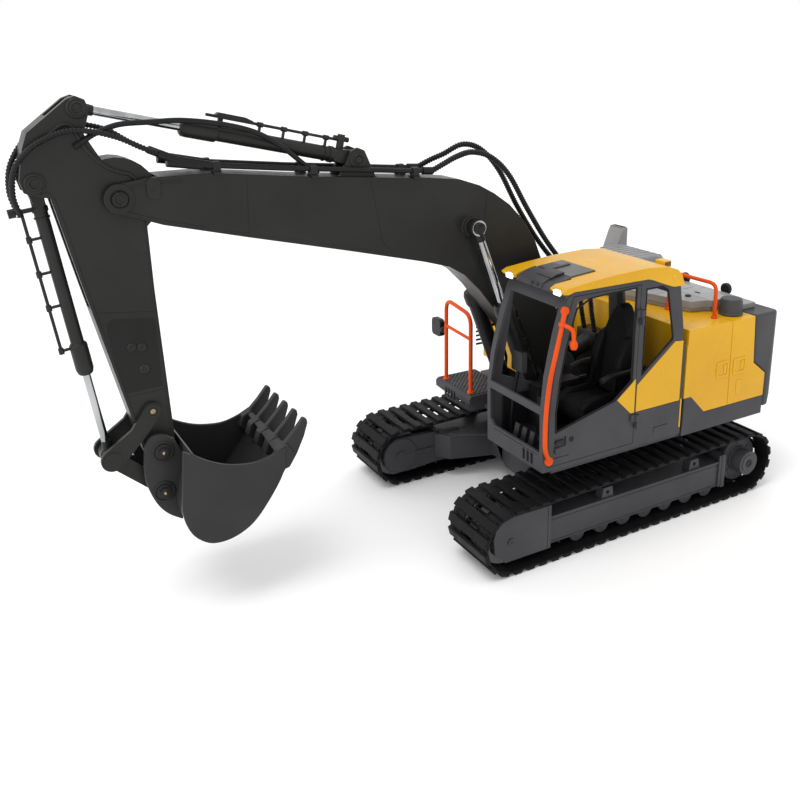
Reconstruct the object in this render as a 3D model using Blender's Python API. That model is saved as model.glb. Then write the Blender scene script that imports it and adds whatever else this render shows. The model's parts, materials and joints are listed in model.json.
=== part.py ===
"""Radio-controlled toy excavator on tracks, a 1:16 model of a 16-tonne machine.

Frame: metres, +X to the front (the boom's side), +Y to the machine's left (the
cab's side), +Z up. The tracks rest on Z = 0. Every number below is in
millimetres, with X measured from the slewing axis; raw_object scales it once, by
MM, and moves it by FRAME_X.
"""
import math

import bmesh
import bpy
from mathutils import Matrix, Vector

MM = 0.001
FRAME_X = -91.3                # puts the middle of the whole length on the origin
GAP = 0.3                      # running or fitting gap between two pieces

# ---------------------------------------------------------------- tracks
TRACK_Y = 61.2                 # middle of each belt
SHOE_W = 37.6
SHOE_T = 2.4                   # plate of one shoe
CHAIN_T = 2.2                  # chain band under the shoes
CHAIN_W = 14.0
SHOE_COUNT = 56
IDLER = (87.5, 18.5)           # x, z of the front wheel
SPROCKET = (-88.0, 20.0)       # x, z of the rear wheel
IDLER_R = 18.5                 # to the outside of the shoes
SPROCKET_R = 20.0
FRAME_IN, FRAME_OUT = 46.0, 74.0
ROLLER_XS = (40.4, 23.2, 6.8, -9.4, -25.4, -42.0, -58.6)

# ---------------------------------------------------------------- slewing gear
RING_TEETH, PINION_TEETH = 40, 8
TOOTH_MODULE = 1.5
PINION_X = -(RING_TEETH + PINION_TEETH) * TOOTH_MODULE / 2
RING_Z = (44.3, 47.6)

# ---------------------------------------------------------------- upper body
DECK_Z = (49.0, 52.0)
HALF_W = 76.0                  # half width of the upper body
CAB_X = (-30.0, 68.0)
CAB_Y = (24.0, 76.0)
CAB_FLOOR, CAB_TOP = 52.3, 148.0
WALL = 1.6
DOOR_HINGE = (5.2, 77.5)       # x, y
HOOD_Z = 114.1
REAR_X = -115.0

# ---------------------------------------------------------------- digging arm pins (x, z)
BOOM_FOOT = (8.0, 80.0)
BOOM_CYL_BASE = (28.0, 62.0)
BOOM_CYL_ROD = (71.0, 173.0)
ARM_CYL_BASE = (135.0, 212.3)
ARM_PIVOT = (250.6, 203.1)
ARM_CYL_ROD = (263.2, 241.8)
BUCKET_CYL_BASE = (283.0, 212.0)
LEVER_PIVOT = (246.0, 103.0)
LINK_TOP = (266.0, 82.4)
BUCKET_PIVOT = (244.0, 83.2)
LINK_FOOT = (245.2, 62.7)
BOOM_HALF, ARM_HALF = 10.0, 7.0
BUCKET_HALF = 29.3
BOOM_CYL_Y = 16.0

# ---------------------------------------------------------------- outlines
BOOM_OUTLINE = [
    (239.0, 211.3), (210.9, 211.6), (167.9, 206.9), (113.9, 202.1), (96.3, 200.8),
    (77.9, 198.7), (65.2, 194.5), (55.4, 189.3), (45.3, 182.3), (34.8, 171.7),
    (27.5, 160.5), (23.0, 150.0), (-1.4, 85.0), (-2.0, 79.0), (2.0, 72.0),
    (8.0, 70.0), (14.5, 72.5), (64.8, 136.1), (74.7, 146.0), (84.3, 151.8),
    (99.8, 156.5), (143.1, 167.5), (194.2, 180.0), (232.7, 189.8), (253.2, 197.3),
    (256.3, 200.3), (256.9, 203.6), (255.6, 207.0), (252.2, 209.2)]
BOOM_CAVITY = [
    (206.0, 208.6), (167.9, 204.0), (96.3, 197.8), (78.5, 195.8), (57.2, 187.0),
    (47.3, 180.2), (37.2, 170.0), (30.0, 159.0), (17.0, 126.0), (34.0, 101.0),
    (62.7, 138.2), (73.2, 148.6), (83.3, 154.7), (143.1, 170.5), (206.0, 186.0)]
ARM_OUTLINE = [
    (258.2, 241.0), (259.6, 245.2), (263.2, 246.8), (267.0, 245.4), (283.5, 232.5),
    (286.0, 226.0), (288.6, 213.0), (287.4, 208.2), (283.0, 206.2), (277.5, 205.3),
    (269.2, 164.9), (252.0, 86.0), (250.2, 79.4), (246.0, 76.3), (241.0, 76.7),
    (237.4, 80.2), (236.6, 85.0), (239.1, 160.6), (239.5, 196.0), (244.0, 214.0),
    (253.8, 217.1), (257.6, 223.7), (261.4, 231.0)]
BUCKET_OUTER = [
    (234.6, 85.4), (231.6, 83.6), (226.2, 79.7), (217.1, 75.5), (207.5, 73.8),
    (199.9, 75.1), (192.3, 77.8), (187.6, 79.6), (188.4, 68.6), (191.4, 63.4),
    (196.0, 56.4), (203.6, 48.3), (209.4, 43.0), (215.6, 39.5), (222.1, 37.7),
    (228.3, 38.1), (233.8, 40.9), (238.1, 46.4), (241.4, 56.8), (240.8, 66.0),
    (235.2, 76.0)]
BUCKET_HOLLOW = [
    (232.6, 110.0), (188.5, 110.0), (190.0, 78.0), (190.8, 68.8), (193.2, 64.4),
    (197.7, 57.6), (205.0, 49.7), (210.6, 44.7), (216.4, 41.5), (222.2, 39.9),
    (227.6, 40.2), (232.4, 42.6), (236.2, 47.4), (239.2, 57.4), (238.6, 65.2),
    (232.9, 75.6)]
BUCKET_EAR = [
    (237.5, 89.5), (244.0, 92.6), (250.6, 90.6), (254.0, 84.0), (253.4, 72.0),
    (252.0, 62.0), (249.2, 55.4), (243.4, 51.0), (236.0, 48.0), (240.6, 60.0),
    (241.0, 78.0)]
CAB_PROFILE = [
    (CAB_X[1], CAB_FLOOR), (CAB_X[1] + 0.6, 87.0), (66.4, 105.0), (63.9, 116.0),
    (61.0, 127.4), (56.9, 140.0), (54.6, 145.5), (52.0, CAB_TOP), (-15.0, CAB_TOP),
    (-20.5, 144.5), (-22.8, 141.0), (-28.3, 109.4), (CAB_X[0], 104.0), (CAB_X[0], CAB_FLOOR)]
DOOR_OUTLINE = [
    (64.6, 55.0), (64.6, 84.0), (62.4, 104.0), (59.4, 119.0), (55.6, 133.0),
    (51.0, 145.6), (6.1, 145.6), (6.1, 55.0)]
DOOR_WINDOW = [
    (60.6, 73.2), (60.9, 84.0), (58.8, 103.0), (55.8, 118.0), (52.0, 131.6),
    (48.4, 142.6), (8.6, 142.6), (8.6, 92.0), (20.5, 82.8)]
CORNER_PANEL = [
    (4.9, 89.0), (4.9, 73.2), (-28.0, 73.2), (-28.0, 109.0), (-21.8, 109.6)]
COVER_PROFILE = [
    (-31.6, 73.0), (-37.0, 73.0), (-48.2, 61.7), (-98.8, 61.7), (-98.8, 76.3),
    (-87.8, 84.8), (-85.6, HOOD_Z), (-31.6, HOOD_Z)]
WEIGHT_PROFILE = [
    (-86.0, HOOD_Z + 0.3), (-88.2, 85.0), (-99.1, 76.5),
    (-99.1, 54.0), (-105.0, 54.0), (REAR_X, 66.0), (REAR_X, 109.0), (-107.0, HOOD_Z + 0.3)]

COLOURS = {
    "dark_grey": (0.035, 0.035, 0.033),
    "body_grey": (0.085, 0.085, 0.092),
    "light_grey": (0.20, 0.20, 0.205),
    "yellow": (0.78, 0.43, 0.012),
    "orange": (0.75, 0.10, 0.012),
    "black": (0.012, 0.012, 0.013),
    "chrome": (0.75, 0.75, 0.77),
    "lamp": (0.9, 0.92, 0.95),
    "green": (0.03, 0.22, 0.08),
    "blue": (0.02, 0.06, 0.3),
}


# ---------------------------------------------------------------- mesh helpers
def prism(axis, outline, low, high):
    """An outline pushed along one axis; the outline holds the other two coordinates."""
    def place(a, b, t):
        return {"X": (t, a, b), "Y": (a, t, b), "Z": (a, b, t)}[axis]
    count = len(outline)
    verts = [place(a, b, low) for a, b in outline] + [place(a, b, high) for a, b in outline]
    faces = [list(range(count)), list(range(2 * count - 1, count - 1, -1))]
    faces += [[i, (i + 1) % count, count + (i + 1) % count, count + i] for i in range(count)]
    return verts, faces


def box(x, y, z):
    """A box from three (low, high) pairs."""
    return prism("Z", [(x[0], y[0]), (x[1], y[0]), (x[1], y[1]), (x[0], y[1])], z[0], z[1])


def circle(centre, radius, sides, start=0.0):
    """Corners of a regular outline, around a centre."""
    return [(centre[0] + radius * math.cos(start + math.tau * i / sides),
             centre[1] + radius * math.sin(start + math.tau * i / sides))
            for i in range(sides)]


def disc_y(centre, radius, y, sides=20):
    """A cylinder along Y at an (x, z) centre."""
    return prism("Y", circle(centre, radius, sides), y[0], y[1])


def disc_z(centre, radius, z, sides=20):
    """A cylinder along Z at an (x, y) centre."""
    return prism("Z", circle(centre, radius, sides), z[0], z[1])


def sweep(path, radius, sides=8, rings=None):
    """A round bar along a path of 3-D points; rings may give one radius per point."""
    points = [Vector(p) for p in path]
    verts, faces = [], []
    normal = None
    for i, point in enumerate(points):
        ahead = points[min(i + 1, len(points) - 1)] - points[max(i - 1, 0)]
        ahead.normalize()
        if normal is None:
            normal = ahead.orthogonal().normalized()
        normal = (normal - ahead * normal.dot(ahead)).normalized()
        other = ahead.cross(normal)
        here = radius if rings is None else rings[i]
        for k in range(sides):
            angle = math.tau * k / sides
            verts.append(tuple(point + here * (math.cos(angle) * normal + math.sin(angle) * other)))
    for i in range(len(points) - 1):
        for k in range(sides):
            a, b = i * sides + k, i * sides + (k + 1) % sides
            faces.append([a, b, b + sides, a + sides])
    faces.append(list(range(sides - 1, -1, -1)))
    faces.append(list(range((len(points) - 1) * sides, len(points) * sides)))
    return verts, faces


def bar(start, end, radius, sides=16):
    """A straight round bar between two 3-D points."""
    return sweep([start, end], radius, sides)


def smooth_path(corners, steps):
    """Points of a smooth curve that passes through every corner."""
    points = [Vector(c) for c in corners]
    ends = [points[0] * 2 - points[1]] + points + [points[-1] * 2 - points[-2]]
    path = []
    for i in range(1, len(ends) - 2):
        before, here, there, after = ends[i - 1:i + 3]
        for s in range(steps):
            t = s / steps
            path.append(0.5 * ((2 * here) + (there - before) * t
                               + (2 * before - 5 * here + 4 * there - after) * t * t
                               + (3 * here - before - 3 * there + after) * t ** 3))
    path.append(points[-1])
    return [tuple(p) for p in path]


def between(a, b, distance):
    """The (x, z) point at a distance from a on the way to b."""
    length = math.hypot(b[0] - a[0], b[1] - a[1])
    return (a[0] + (b[0] - a[0]) * distance / length, a[1] + (b[1] - a[1]) * distance / length)


def at(point, y):
    """An (x, z) point placed at a y."""
    return (point[0], y, point[1])


# ---------------------------------------------------------------- object helpers
def material(node, colour, roughness, metallic):
    """One Principled material for a node."""
    mat = bpy.data.materials.new(node + "_material")
    mat.use_nodes = True
    shader = mat.node_tree.nodes["Principled BSDF"]
    shader.inputs["Base Color"].default_value = (*COLOURS[colour], 1.0)
    shader.inputs["Roughness"].default_value = roughness
    shader.inputs["Metallic"].default_value = metallic
    return mat


def raw_object(name, shape):
    """An object with closed faces that point outwards."""
    mesh = bpy.data.meshes.new(name)
    verts, faces = shape
    mesh.from_pydata([((x + FRAME_X) * MM, y * MM, z * MM) for x, y, z in verts], [], faces)
    work = bmesh.new()
    work.from_mesh(mesh)
    bmesh.ops.recalc_face_normals(work, faces=work.faces)
    work.to_mesh(mesh)
    work.free()
    obj = bpy.data.objects.new(name, mesh)
    bpy.context.scene.collection.objects.link(obj)
    return obj


def node(name, colour, base, add=(), cut=(), origin=None, roughness=0.45, metallic=0.0):
    """One named solid: a base shape with others joined to it and others cut away."""
    obj = raw_object(name, base)
    helpers = []
    for kind, shapes in (("UNION", add), ("DIFFERENCE", cut)):
        for shape in shapes:
            helper = raw_object(name + "_tool", shape)
            helper.hide_render = True
            helper.display_type = "WIRE"
            step = obj.modifiers.new(kind.lower(), "BOOLEAN")
            step.operation = kind
            step.solver = "EXACT"
            step.object = helper
            helpers.append(helper)
    if helpers:
        bpy.context.view_layer.update()
        graph = bpy.context.evaluated_depsgraph_get()
        shaped = bpy.data.meshes.new_from_object(obj.evaluated_get(graph))
        obj.modifiers.clear()
        obj.data = shaped
        for helper in helpers:
            bpy.data.objects.remove(helper, do_unlink=True)
    work = bmesh.new()
    work.from_mesh(obj.data)
    bmesh.ops.remove_doubles(work, verts=work.verts, dist=0.00002)
    bmesh.ops.dissolve_degenerate(work, edges=work.edges, dist=0.00002)
    bmesh.ops.dissolve_limit(work, angle_limit=math.radians(0.4), verts=work.verts, edges=work.edges)
    bmesh.ops.triangulate(work, faces=[f for f in work.faces if len(f.verts) > 4])
    bmesh.ops.recalc_face_normals(work, faces=work.faces)
    work.to_mesh(obj.data)
    work.free()
    obj.data.shade_smooth()
    obj.data.set_sharp_from_angle(angle=math.radians(35))
    obj.data.materials.clear()
    obj.data.materials.append(material(name, colour, roughness, metallic))
    obj.data.name = name
    if origin is not None:
        centre = (Vector(origin) + Vector((FRAME_X, 0, 0))) * MM
        obj.data.transform(Matrix.Translation(-centre))
        obj.location = centre
    return obj


# ---------------------------------------------------------------- undercarriage
def loop_frames(inset):
    """Points and outward normals round the belt, inset from the shoes' outside."""
    (x1, z1), (x2, z2) = IDLER, SPROCKET
    r1, r2 = IDLER_R - inset, SPROCKET_R - inset
    dx, dz = x2 - x1, z2 - z1
    span = math.hypot(dx, dz)
    lean = math.asin((r1 - r2) / span)
    along = math.atan2(dz, dx)
    top, bottom = along - math.pi / 2 - lean, along + math.pi / 2 + lean
    # straight top run to the rear, rear arc, straight bottom run, front arc
    a = Vector((x1 + r1 * math.cos(top), z1 + r1 * math.sin(top)))
    b = Vector((x2 + r2 * math.cos(top), z2 + r2 * math.sin(top)))
    c = Vector((x2 + r2 * math.cos(bottom), z2 + r2 * math.sin(bottom)))
    d = Vector((x1 + r1 * math.cos(bottom), z1 + r1 * math.sin(bottom)))
    straight = (b - a).length
    rear = r2 * ((bottom - top) % math.tau)
    front = r1 * ((top - bottom) % math.tau)
    total = 2 * straight + rear + front

    def find(distance):
        s = distance % total
        if s < straight:
            p = a.lerp(b, s / straight)
            return p, Vector((math.cos(top), math.sin(top)))
        s -= straight
        if s < rear:
            angle = top + s / r2
            n = Vector((math.cos(angle), math.sin(angle)))
            return Vector((x2, z2)) + n * r2, n
        s -= rear
        if s < straight:
            p = c.lerp(d, s / straight)
            return p, Vector((math.cos(bottom), math.sin(bottom)))
        angle = bottom + (s - straight) / r1
        n = Vector((math.cos(angle), math.sin(angle)))
        return Vector((x1, z1)) + n * r1, n
    return total, find


def belt(side):
    """A closed track belt: shoes on the outside, a chain band on the inside."""
    mid = side * TRACK_Y
    half, chain = SHOE_W / 2, CHAIN_W / 2
    low = SHOE_T * 0.35            # height of the step between two shoes
    total, find = loop_frames(SHOE_T)
    pitch = total / SHOE_COUNT
    verts, faces = [], []
    for i in range(SHOE_COUNT):
        p0, n0 = find(i * pitch)
        p1, n1 = find((i + 0.82) * pitch)
        p2, n2 = find((i + 1) * pitch)
        top = [p0 + n0 * SHOE_T, p1 + n1 * SHOE_T, p1 + n1 * low, p2 + n2 * low]
        for y in (mid - half, mid + half):
            verts += [(p.x, y, p.y) for p in top]
        verts += [(p0.x, y, p0.y) for y in (mid - half, mid + half, mid - chain, mid + chain)]
        inner = p0 - n0 * CHAIN_T
        verts += [(inner.x, y, inner.y) for y in (mid - chain, mid + chain)]
    stride = 14
    for i in range(SHOE_COUNT):
        a, b = i * stride, ((i + 1) % SHOE_COUNT) * stride
        near, far = [a + k for k in range(4)] + [b], [a + 4 + k for k in range(4)] + [b + 4]
        for k in range(4):
            faces.append([near[k], near[k + 1], far[k + 1], far[k]])
        faces.append(near + [b + 8, a + 8])
        faces.append(far + [b + 9, a + 9])
        for first, second in ((8, 10), (9, 11), (10, 12), (11, 13), (12, 13)):
            faces.append([a + first, b + first, b + second, a + second])
    return verts, faces


def mirrored(side, low, high):
    """A (low, high) pair of y values on one side of the machine."""
    return (low, high) if side > 0 else (-high, -low)


def build_tracks(name, side):
    """Track frame, belt, front wheel, rear wheel and drive gearbox of one side."""
    def ys(low, high):
        return mirrored(side, low, high)
    front_plate = [(61.5, 7.0), (91.0, 7.0), (97.6, 13.5), (98.4, 23.0), (95.6, 30.6), (92.0, 32.6),
                   (61.5, 32.6)]
    inner_plate = [(56.0, 8.5), (84.0, 6.5)] + circle(IDLER, 12.0, 14, -1.8)[0:8] + [(56.0, 28.5)]
    rear_rib = [(-69.0, 7.0), (-72.0, 7.0), (-72.0, 28.5), (-69.0, 28.5)]
    adds = [
        prism("Y", front_plate, *ys(72.5, 76.5)),
        prism("Y", inner_plate, *ys(FRAME_IN, 49.5)),
        prism("Y", rear_rib, *ys(FRAME_IN, 75.5)),
        box((-90.0, -70.0), ys(FRAME_IN, 49.0), (12.5, 27.5)),
        disc_y(IDLER, 2.0, ys(47.0, 77.2), 12),
        box((60.8, 62.6), ys(FRAME_IN + 1, 75.5), (7.0, 31.0)),
    ]
    for x in ROLLER_XS:
        adds.append(disc_y((x, 8.4), 5.4, ys(69.0, 73.0), 10))
        adds.append(disc_y((x, 8.4), 5.4, ys(49.5, 53.5), 10))
    bracket = [(-4.5, 23.0), (4.5, 23.0), (3.2, 30.5), (-3.2, 30.5)]
    cuts = []
    for x in (20.0, -47.0):
        adds.append(prism("Y", [(x + a, b) for a, b in bracket], *ys(68.0, 73.6)))
        cuts.append(disc_y((x, 27.6), 1.2, ys(66.0, 76.0), 8))
    node(f"track_frame_{name}", "body_grey", box((-70.0, 62.0), ys(FRAME_IN, FRAME_OUT), (8.0, 24.0)),
         adds, cuts, roughness=0.5)
    node(f"track_belt_{name}", "black", belt(side), roughness=0.7)

    # the chain lies on each wheel in chords, so the wheels are a little smaller
    play = GAP + 0.55
    flange, groove = IDLER_R - SHOE_T - play, IDLER_R - SHOE_T - CHAIN_T - play
    edge = CHAIN_W / 2 + GAP + 0.1
    node(f"idler_{name}", "dark_grey", disc_y(IDLER, groove, ys(TRACK_Y - 9.5, TRACK_Y + 9.5), 24),
         [disc_y(IDLER, flange, ys(TRACK_Y + edge, TRACK_Y + 9.5), 24),
          disc_y(IDLER, flange, ys(TRACK_Y - 9.5, TRACK_Y - edge), 24)],
         [disc_y(IDLER, 2.3, (-90, 90), 12)],
         origin=at(IDLER, side * TRACK_Y))

    wheel = SPROCKET_R - SHOE_T - CHAIN_T - play
    notches = []
    for i in range(10):
        angle = math.tau * i / 10
        x = SPROCKET[0] + (wheel + 0.6) * math.cos(angle)
        z = SPROCKET[1] + (wheel + 0.6) * math.sin(angle)
        notches.append(disc_y((x, z), 1.5, ys(54.0, 68.2), 6))
    node(f"sprocket_{name}", "body_grey", disc_y(SPROCKET, wheel, ys(55.0, 68.0), 28),
         [disc_y(SPROCKET, 14.2, ys(67.0, 70.0), 24), disc_y(SPROCKET, 7.6, ys(69.0, 79.4), 20)],
         notches + [disc_y(SPROCKET, 1.7, ys(78.0, 81.0), 8),
                    disc_y(SPROCKET, 3.3, ys(54.0, 66.0), 16)],
         origin=at(SPROCKET, side * TRACK_Y), roughness=0.5)
    node(f"drive_gearbox_{name}", "dark_grey", disc_y(SPROCKET, 12.0, ys(49.3, 54.6), 20),
         [disc_y(SPROCKET, 3.0, ys(54.0, 65.4), 16), box((-86.0, -72.5), ys(49.3, 54.6), (13.0, 27.0))])


def build_centre_frame():
    """The cross-shaped frame between the tracks, with the slewing ring on top."""
    edge = FRAME_IN - GAP
    legs = [(63.0, edge), (57.0, 36.0), (30.0, 27.0), (30.0, -27.0), (57.0, -36.0), (63.0, -edge),
            (-63.0, -edge), (-57.0, -36.0), (-30.0, -27.0), (-30.0, 27.0), (-57.0, 36.0), (-63.0, edge)]
    node("centre_frame", "body_grey", prism("Z", legs, 12.0, 28.0),
         [disc_z((0, 0), 34.0, (12.5, 44.0), 28)],
         [disc_z((0, 0), 8.0, (5.0, 50.0), 16),
          box((-20.0, 20.0), (-18.0, 18.0), (5.0, 38.0))], roughness=0.5)


def gear_outline(teeth, root, tip, width_root, width_tip, phase):
    """Outline of a plain toothed wheel."""
    points = []
    for i in range(teeth):
        centre = phase + math.tau * i / teeth
        for radius, half in ((root, -width_root / root / 2), (tip, -width_tip / tip / 2),
                             (tip, width_tip / tip / 2), (root, width_root / root / 2)):
            points.append((radius * math.cos(centre + half), radius * math.sin(centre + half)))
    return points


def build_slew_gear():
    """Fixed ring gear on the frame, and the pinion that walks round it."""
    ring_r, pinion_r = RING_TEETH * TOOTH_MODULE / 2, PINION_TEETH * TOOTH_MODULE / 2
    ring = gear_outline(RING_TEETH, ring_r - 1.3, ring_r + 0.4, 1.5, 0.8, math.pi)
    node("slew_ring", "light_grey", prism("Z", ring, *RING_Z), (), [disc_z((0, 0), 21.0, (40, 60), 24)],
         roughness=0.4)
    phase = math.pi / PINION_TEETH
    pinion = gear_outline(PINION_TEETH, pinion_r - 1.3, pinion_r + 0.4, 1.5, 0.8, phase)
    pinion = [(PINION_X + a, b) for a, b in pinion]
    node("slew_pinion", "light_grey", prism("Z", pinion, RING_Z[0] + 0.2, 48.4),
         [disc_z((PINION_X, 0), 1.8, (46.0, 57.0), 12)], origin=(PINION_X, 0, 48.0))


# ---------------------------------------------------------------- upper body
def build_deck():
    """Turntable plate with the boom's brackets and the lift cylinders' feet."""
    plate = [(60.0, 24.0), (60.0, 73.0), (-30.0, 73.0), (-98.5, 73.0), (-98.5, -73.0), (10.0, -73.0),
             (16.0, -63.0), (34.0, -63.0), (34.0, -22.0), (40.0, -22.0), (40.0, 24.0)]
    bracket = [(-17.0, 50.0), (21.0, 50.0), (19.0, 78.0), (17.2, 84.6), (12.5, 89.4), (6.0, 90.6),
               (0.0, 88.0), (-3.4, 82.0)]
    lug = [(21.5, 50.5), (35.0, 50.5), (32.4, 63.0), (30.6, 65.6), (28.0, 66.4), (25.4, 65.6),
           (23.6, 63.0)]
    skirt = [(-31.6, 50.0), (-98.8, 50.0), (-98.8, 61.4), (-48.3, 61.4), (-37.2, 72.7), (-31.6, 72.7)]
    plain_skirt = [(0.0, 50.0), (-98.8, 50.0), (-98.8, 61.4), (0.0, 61.4)]
    adds = [disc_z((0, 0), 20.6, (44.4, 50.0), 24), disc_z((0, 0), 26.0, (48.0, 50.0), 24),
            prism("Y", skirt, 72.0, 75.8), prism("Y", plain_skirt, -75.8, -72.0)]
    cuts = [disc_z((0, 0), 7.0, (40.0, 60.0), 16), disc_z((PINION_X, 0), 2.3, (44.0, 56.0), 12)]
    for side in (1, -1):
        adds.append(prism("Y", bracket, *mirrored(side, BOOM_HALF + GAP, 12.6)))
        adds.append(prism("Y", lug, *mirrored(side, BOOM_HALF + GAP, 12.4)))
        adds.append(prism("Y", lug, *mirrored(side, 19.6, 21.6)))
        adds.append(disc_y(BOOM_CYL_BASE, 2.2, mirrored(side, 11.5, 20.6), 12))
    cuts.append(disc_y(BOOM_FOOT, 3.3, (-30, 30), 16))
    # a slot in the rear right of the plate takes the power switch
    cuts.append(box((-80.0, -76.0), (-53.0, -46.0), (45.0, 56.0)))
    node("deck", "body_grey", prism("Z", plate, *DECK_Z), adds, cuts, roughness=0.5)
    node("boom_foot_pin", "light_grey", disc_y(BOOM_FOOT, 3.0, (-13.4, 13.4), 16), metallic=0.8)
    node("power_switch", "black", box((-79.6, -76.4), (-52.6, -49.6), (47.6, 53.4)),
         [box((-83.0, -73.0), (-54.0, -46.0), (52.3, 54.0))], origin=(-78.0, -50.0, 51.0))


def inset_profile(profile, distance, centre):
    """A profile drawn in towards a centre by about a wall's thickness."""
    shrunk = []
    for a, b in profile:
        da, db = a - centre[0], b - centre[1]
        shrunk.append((a - math.copysign(distance, da), b - math.copysign(distance, db)))
    return shrunk


def build_cab():
    """Cab shell, door, corner panel, roof, hatch, lamps, seat and console."""
    inner = inset_profile(CAB_PROFILE, WALL, (20.0, 100.0))
    y0, y1 = CAB_Y
    wide = (y0 + 5.0, y1 - 5.0)
    door_gap = [(a + math.copysign(GAP, a - 30), b + math.copysign(GAP, b - 100)) for a, b in DOOR_OUTLINE]
    rear_side = [(2.4, 93.8), (2.4, 143.2), (-9.5, 143.2), (-14.0, 140.5), (-20.0, 113.0),
                 (-20.0, 110.9)]
    far_side = [(60.0, 90.0), (52.0, 140.0), (-16.0, 140.0), (-20.0, 78.0), (30.0, 78.0)]
    front_top = [(wide[0] - 2, 88.8), (wide[1] + 2, 88.8), (wide[1], 139.5), (wide[0], 139.5)]
    front_low = [(wide[0] - 2, 66.0), (wide[0] + 1, 63.0), (wide[1] + 2, 63.0), (wide[1] + 2, 84.6),
                 (wide[0] - 2, 84.6)]
    slots = [box((60.0, 75.0), (58.0 + 3.6 * i, 60.2 + 3.6 * i), (53.9, 60.4)) for i in range(3)]
    hinge = [disc_z(DOOR_HINGE, 1.2, (z, z + 4.0), 10) for z in (64.0, 124.0)]
    hinge += [box((3.6, 5.6), (y1 - 1.0, DOOR_HINGE[1]), (z, z + 4.0)) for z in (64.0, 124.0)]
    hinge += [disc_z(DOOR_HINGE, 0.6, (z + 3.0, z + 7.0), 8) for z in (64.0, 124.0)]
    lamp_ys = (29.0, 71.0)
    visor_shape = [(45.2, 147.0), (52.0, 147.0), (54.5, 145.2), (57.5, 146.6), (57.0, 149.0),
                   (51.0, 151.4), (45.2, 152.6)]
    crown = [prism("Y", visor_shape, lamp_ys[0] + 5.3, lamp_ys[1] - 5.3)]
    panel_pocket = [(5.1, 89.0), (5.1, 73.0), (-28.2, 73.0), (-28.2, 109.2), (-21.7, 109.9)]
    node("cab_shell", "body_grey", prism("Y", CAB_PROFILE, y0, y1), hinge + crown,
         [prism("Y", inner, y0 + WALL, y1 - WALL),
          prism("Y", door_gap, y1 - WALL - 1.0, y1 + 3.0),
          prism("Y", rear_side, y1 - WALL - 1.0, y1 + 3.0),
          prism("Y", far_side, y0 - 3.0, y0 + WALL + 1.0),
          prism("X", front_top, 50.0, 75.0),
          prism("X", front_low, 60.0, 75.0),
          box((-35.0, -18.0), wide, (84.0, 136.0)),
          box((14.0, 41.0), (40.0, 60.0), (CAB_TOP - 3.0, CAB_TOP + 3.0)),
          prism("Y", panel_pocket, y1 - 1.1, y1 + 3.0)] + slots, roughness=0.5)
    knuckles = [disc_z(DOOR_HINGE, 1.2, (z + 4.3, z + 8.3), 10) for z in (64.0, 124.0)]
    knuckles += [box((6.2, 9.0), (y1 - 0.8, DOOR_HINGE[1] - 0.2), (z + 4.3, z + 8.3))
                 for z in (64.0, 124.0)]
    reliefs = [disc_z(DOOR_HINGE, 0.9, (z + 4.0, z + 9.0), 8) for z in (64.0, 124.0)]
    handle = box((57.5, 60.5), (y1 - 0.5, y1 + 1.0), (62.0, 69.0))
    node("cab_door", "body_grey", prism("Y", DOOR_OUTLINE, y1 - WALL, y1), knuckles + [handle],
         [prism("Y", DOOR_WINDOW, y1 - 4.0, y1 + 3.0)] + reliefs,
         origin=(*DOOR_HINGE, 99.0), roughness=0.5)
    node("cab_corner_panel", "yellow", prism("Y", CORNER_PANEL, y1 - 0.8, y1), roughness=0.35)

    roof = [(-15.1, CAB_TOP + GAP), (51.8, CAB_TOP + GAP), (55.0, 147.3), (58.0, 147.6), (59.2, 149.2),
            (56.0, 150.8), (40.7, 152.4), (24.2, 153.8), (2.6, 154.6), (-12.0, 153.4), (-19.4, 150.8),
            (-22.6, 147.4), (-24.9, 141.4), (-23.2, 141.2), (-20.85, 144.8)]
    lamp_holes = [box((54.7, 70.0), (y - 3.4, y + 3.4), (144.0, 149.6)) for y in lamp_ys]
    visor = box((44.9, 70.0), (lamp_ys[0] + 5.0, lamp_ys[1] - 5.0), (144.0, 160.0))
    hatch_pocket = box((27.6, 46.0), (35.6, 64.4), (151.0, 160.0))
    node("cab_roof", "yellow", prism("Y", roof, y0 - 1.5, y1 + 1.0), (),
         lamp_holes + [visor, hatch_pocket], roughness=0.35)
    hatch = [(28.0, 151.3), (44.6, 151.3), (44.6, 152.8), (28.0, 154.2)]
    node("roof_hatch", "light_grey", prism("Y", hatch, 36.0, 64.0), roughness=0.5)
    for name, y in (("right", lamp_ys[0]), ("left", lamp_ys[1])):
        lens = box((55.1, 58.2), (y - 3.0, y + 3.0), (146.3, 149.3))
        node(f"work_lamp_{name}", "lamp", lens, roughness=0.1)

    floor = CAB_FLOOR + WALL + GAP
    seat = [(30.0, 76.0), (4.0, 76.0), (-2.0, 118.0), (-9.0, 119.0), (-8.0, 74.0), (-2.0, 66.0),
            (30.0, 66.0), (32.0, 71.0)]
    node("seat", "black", prism("Y", seat, 38.0, 62.0),
         [box((0.0, 26.0), (42.0, 58.0), (floor, 68.0)), box((-7.6, -2.6), (43.0, 57.0), (117.0, 129.0))],
         roughness=0.8)
    levers = [bar((46.0, y, 80.0), (44.0, y, 94.0), 0.9, 8) for y in (46.0, 50.0)]
    node("console", "dark_grey", box((38.0, 52.0), (27.0, 68.0), (floor, 58.0)),
         levers + [box((44.0, 49.0), (44.0, 52.0), (57.0, 81.0)),
                   box((12.0, 42.0), (27.0, 35.6), (57.0, 82.0)),
                   disc_z((24.0, 31.0), 1.2, (81.0, 92.0), 8),
                   box((36.0, 42.0), (27.0, 35.6), (floor, 60.0))],
         roughness=0.7)


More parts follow.
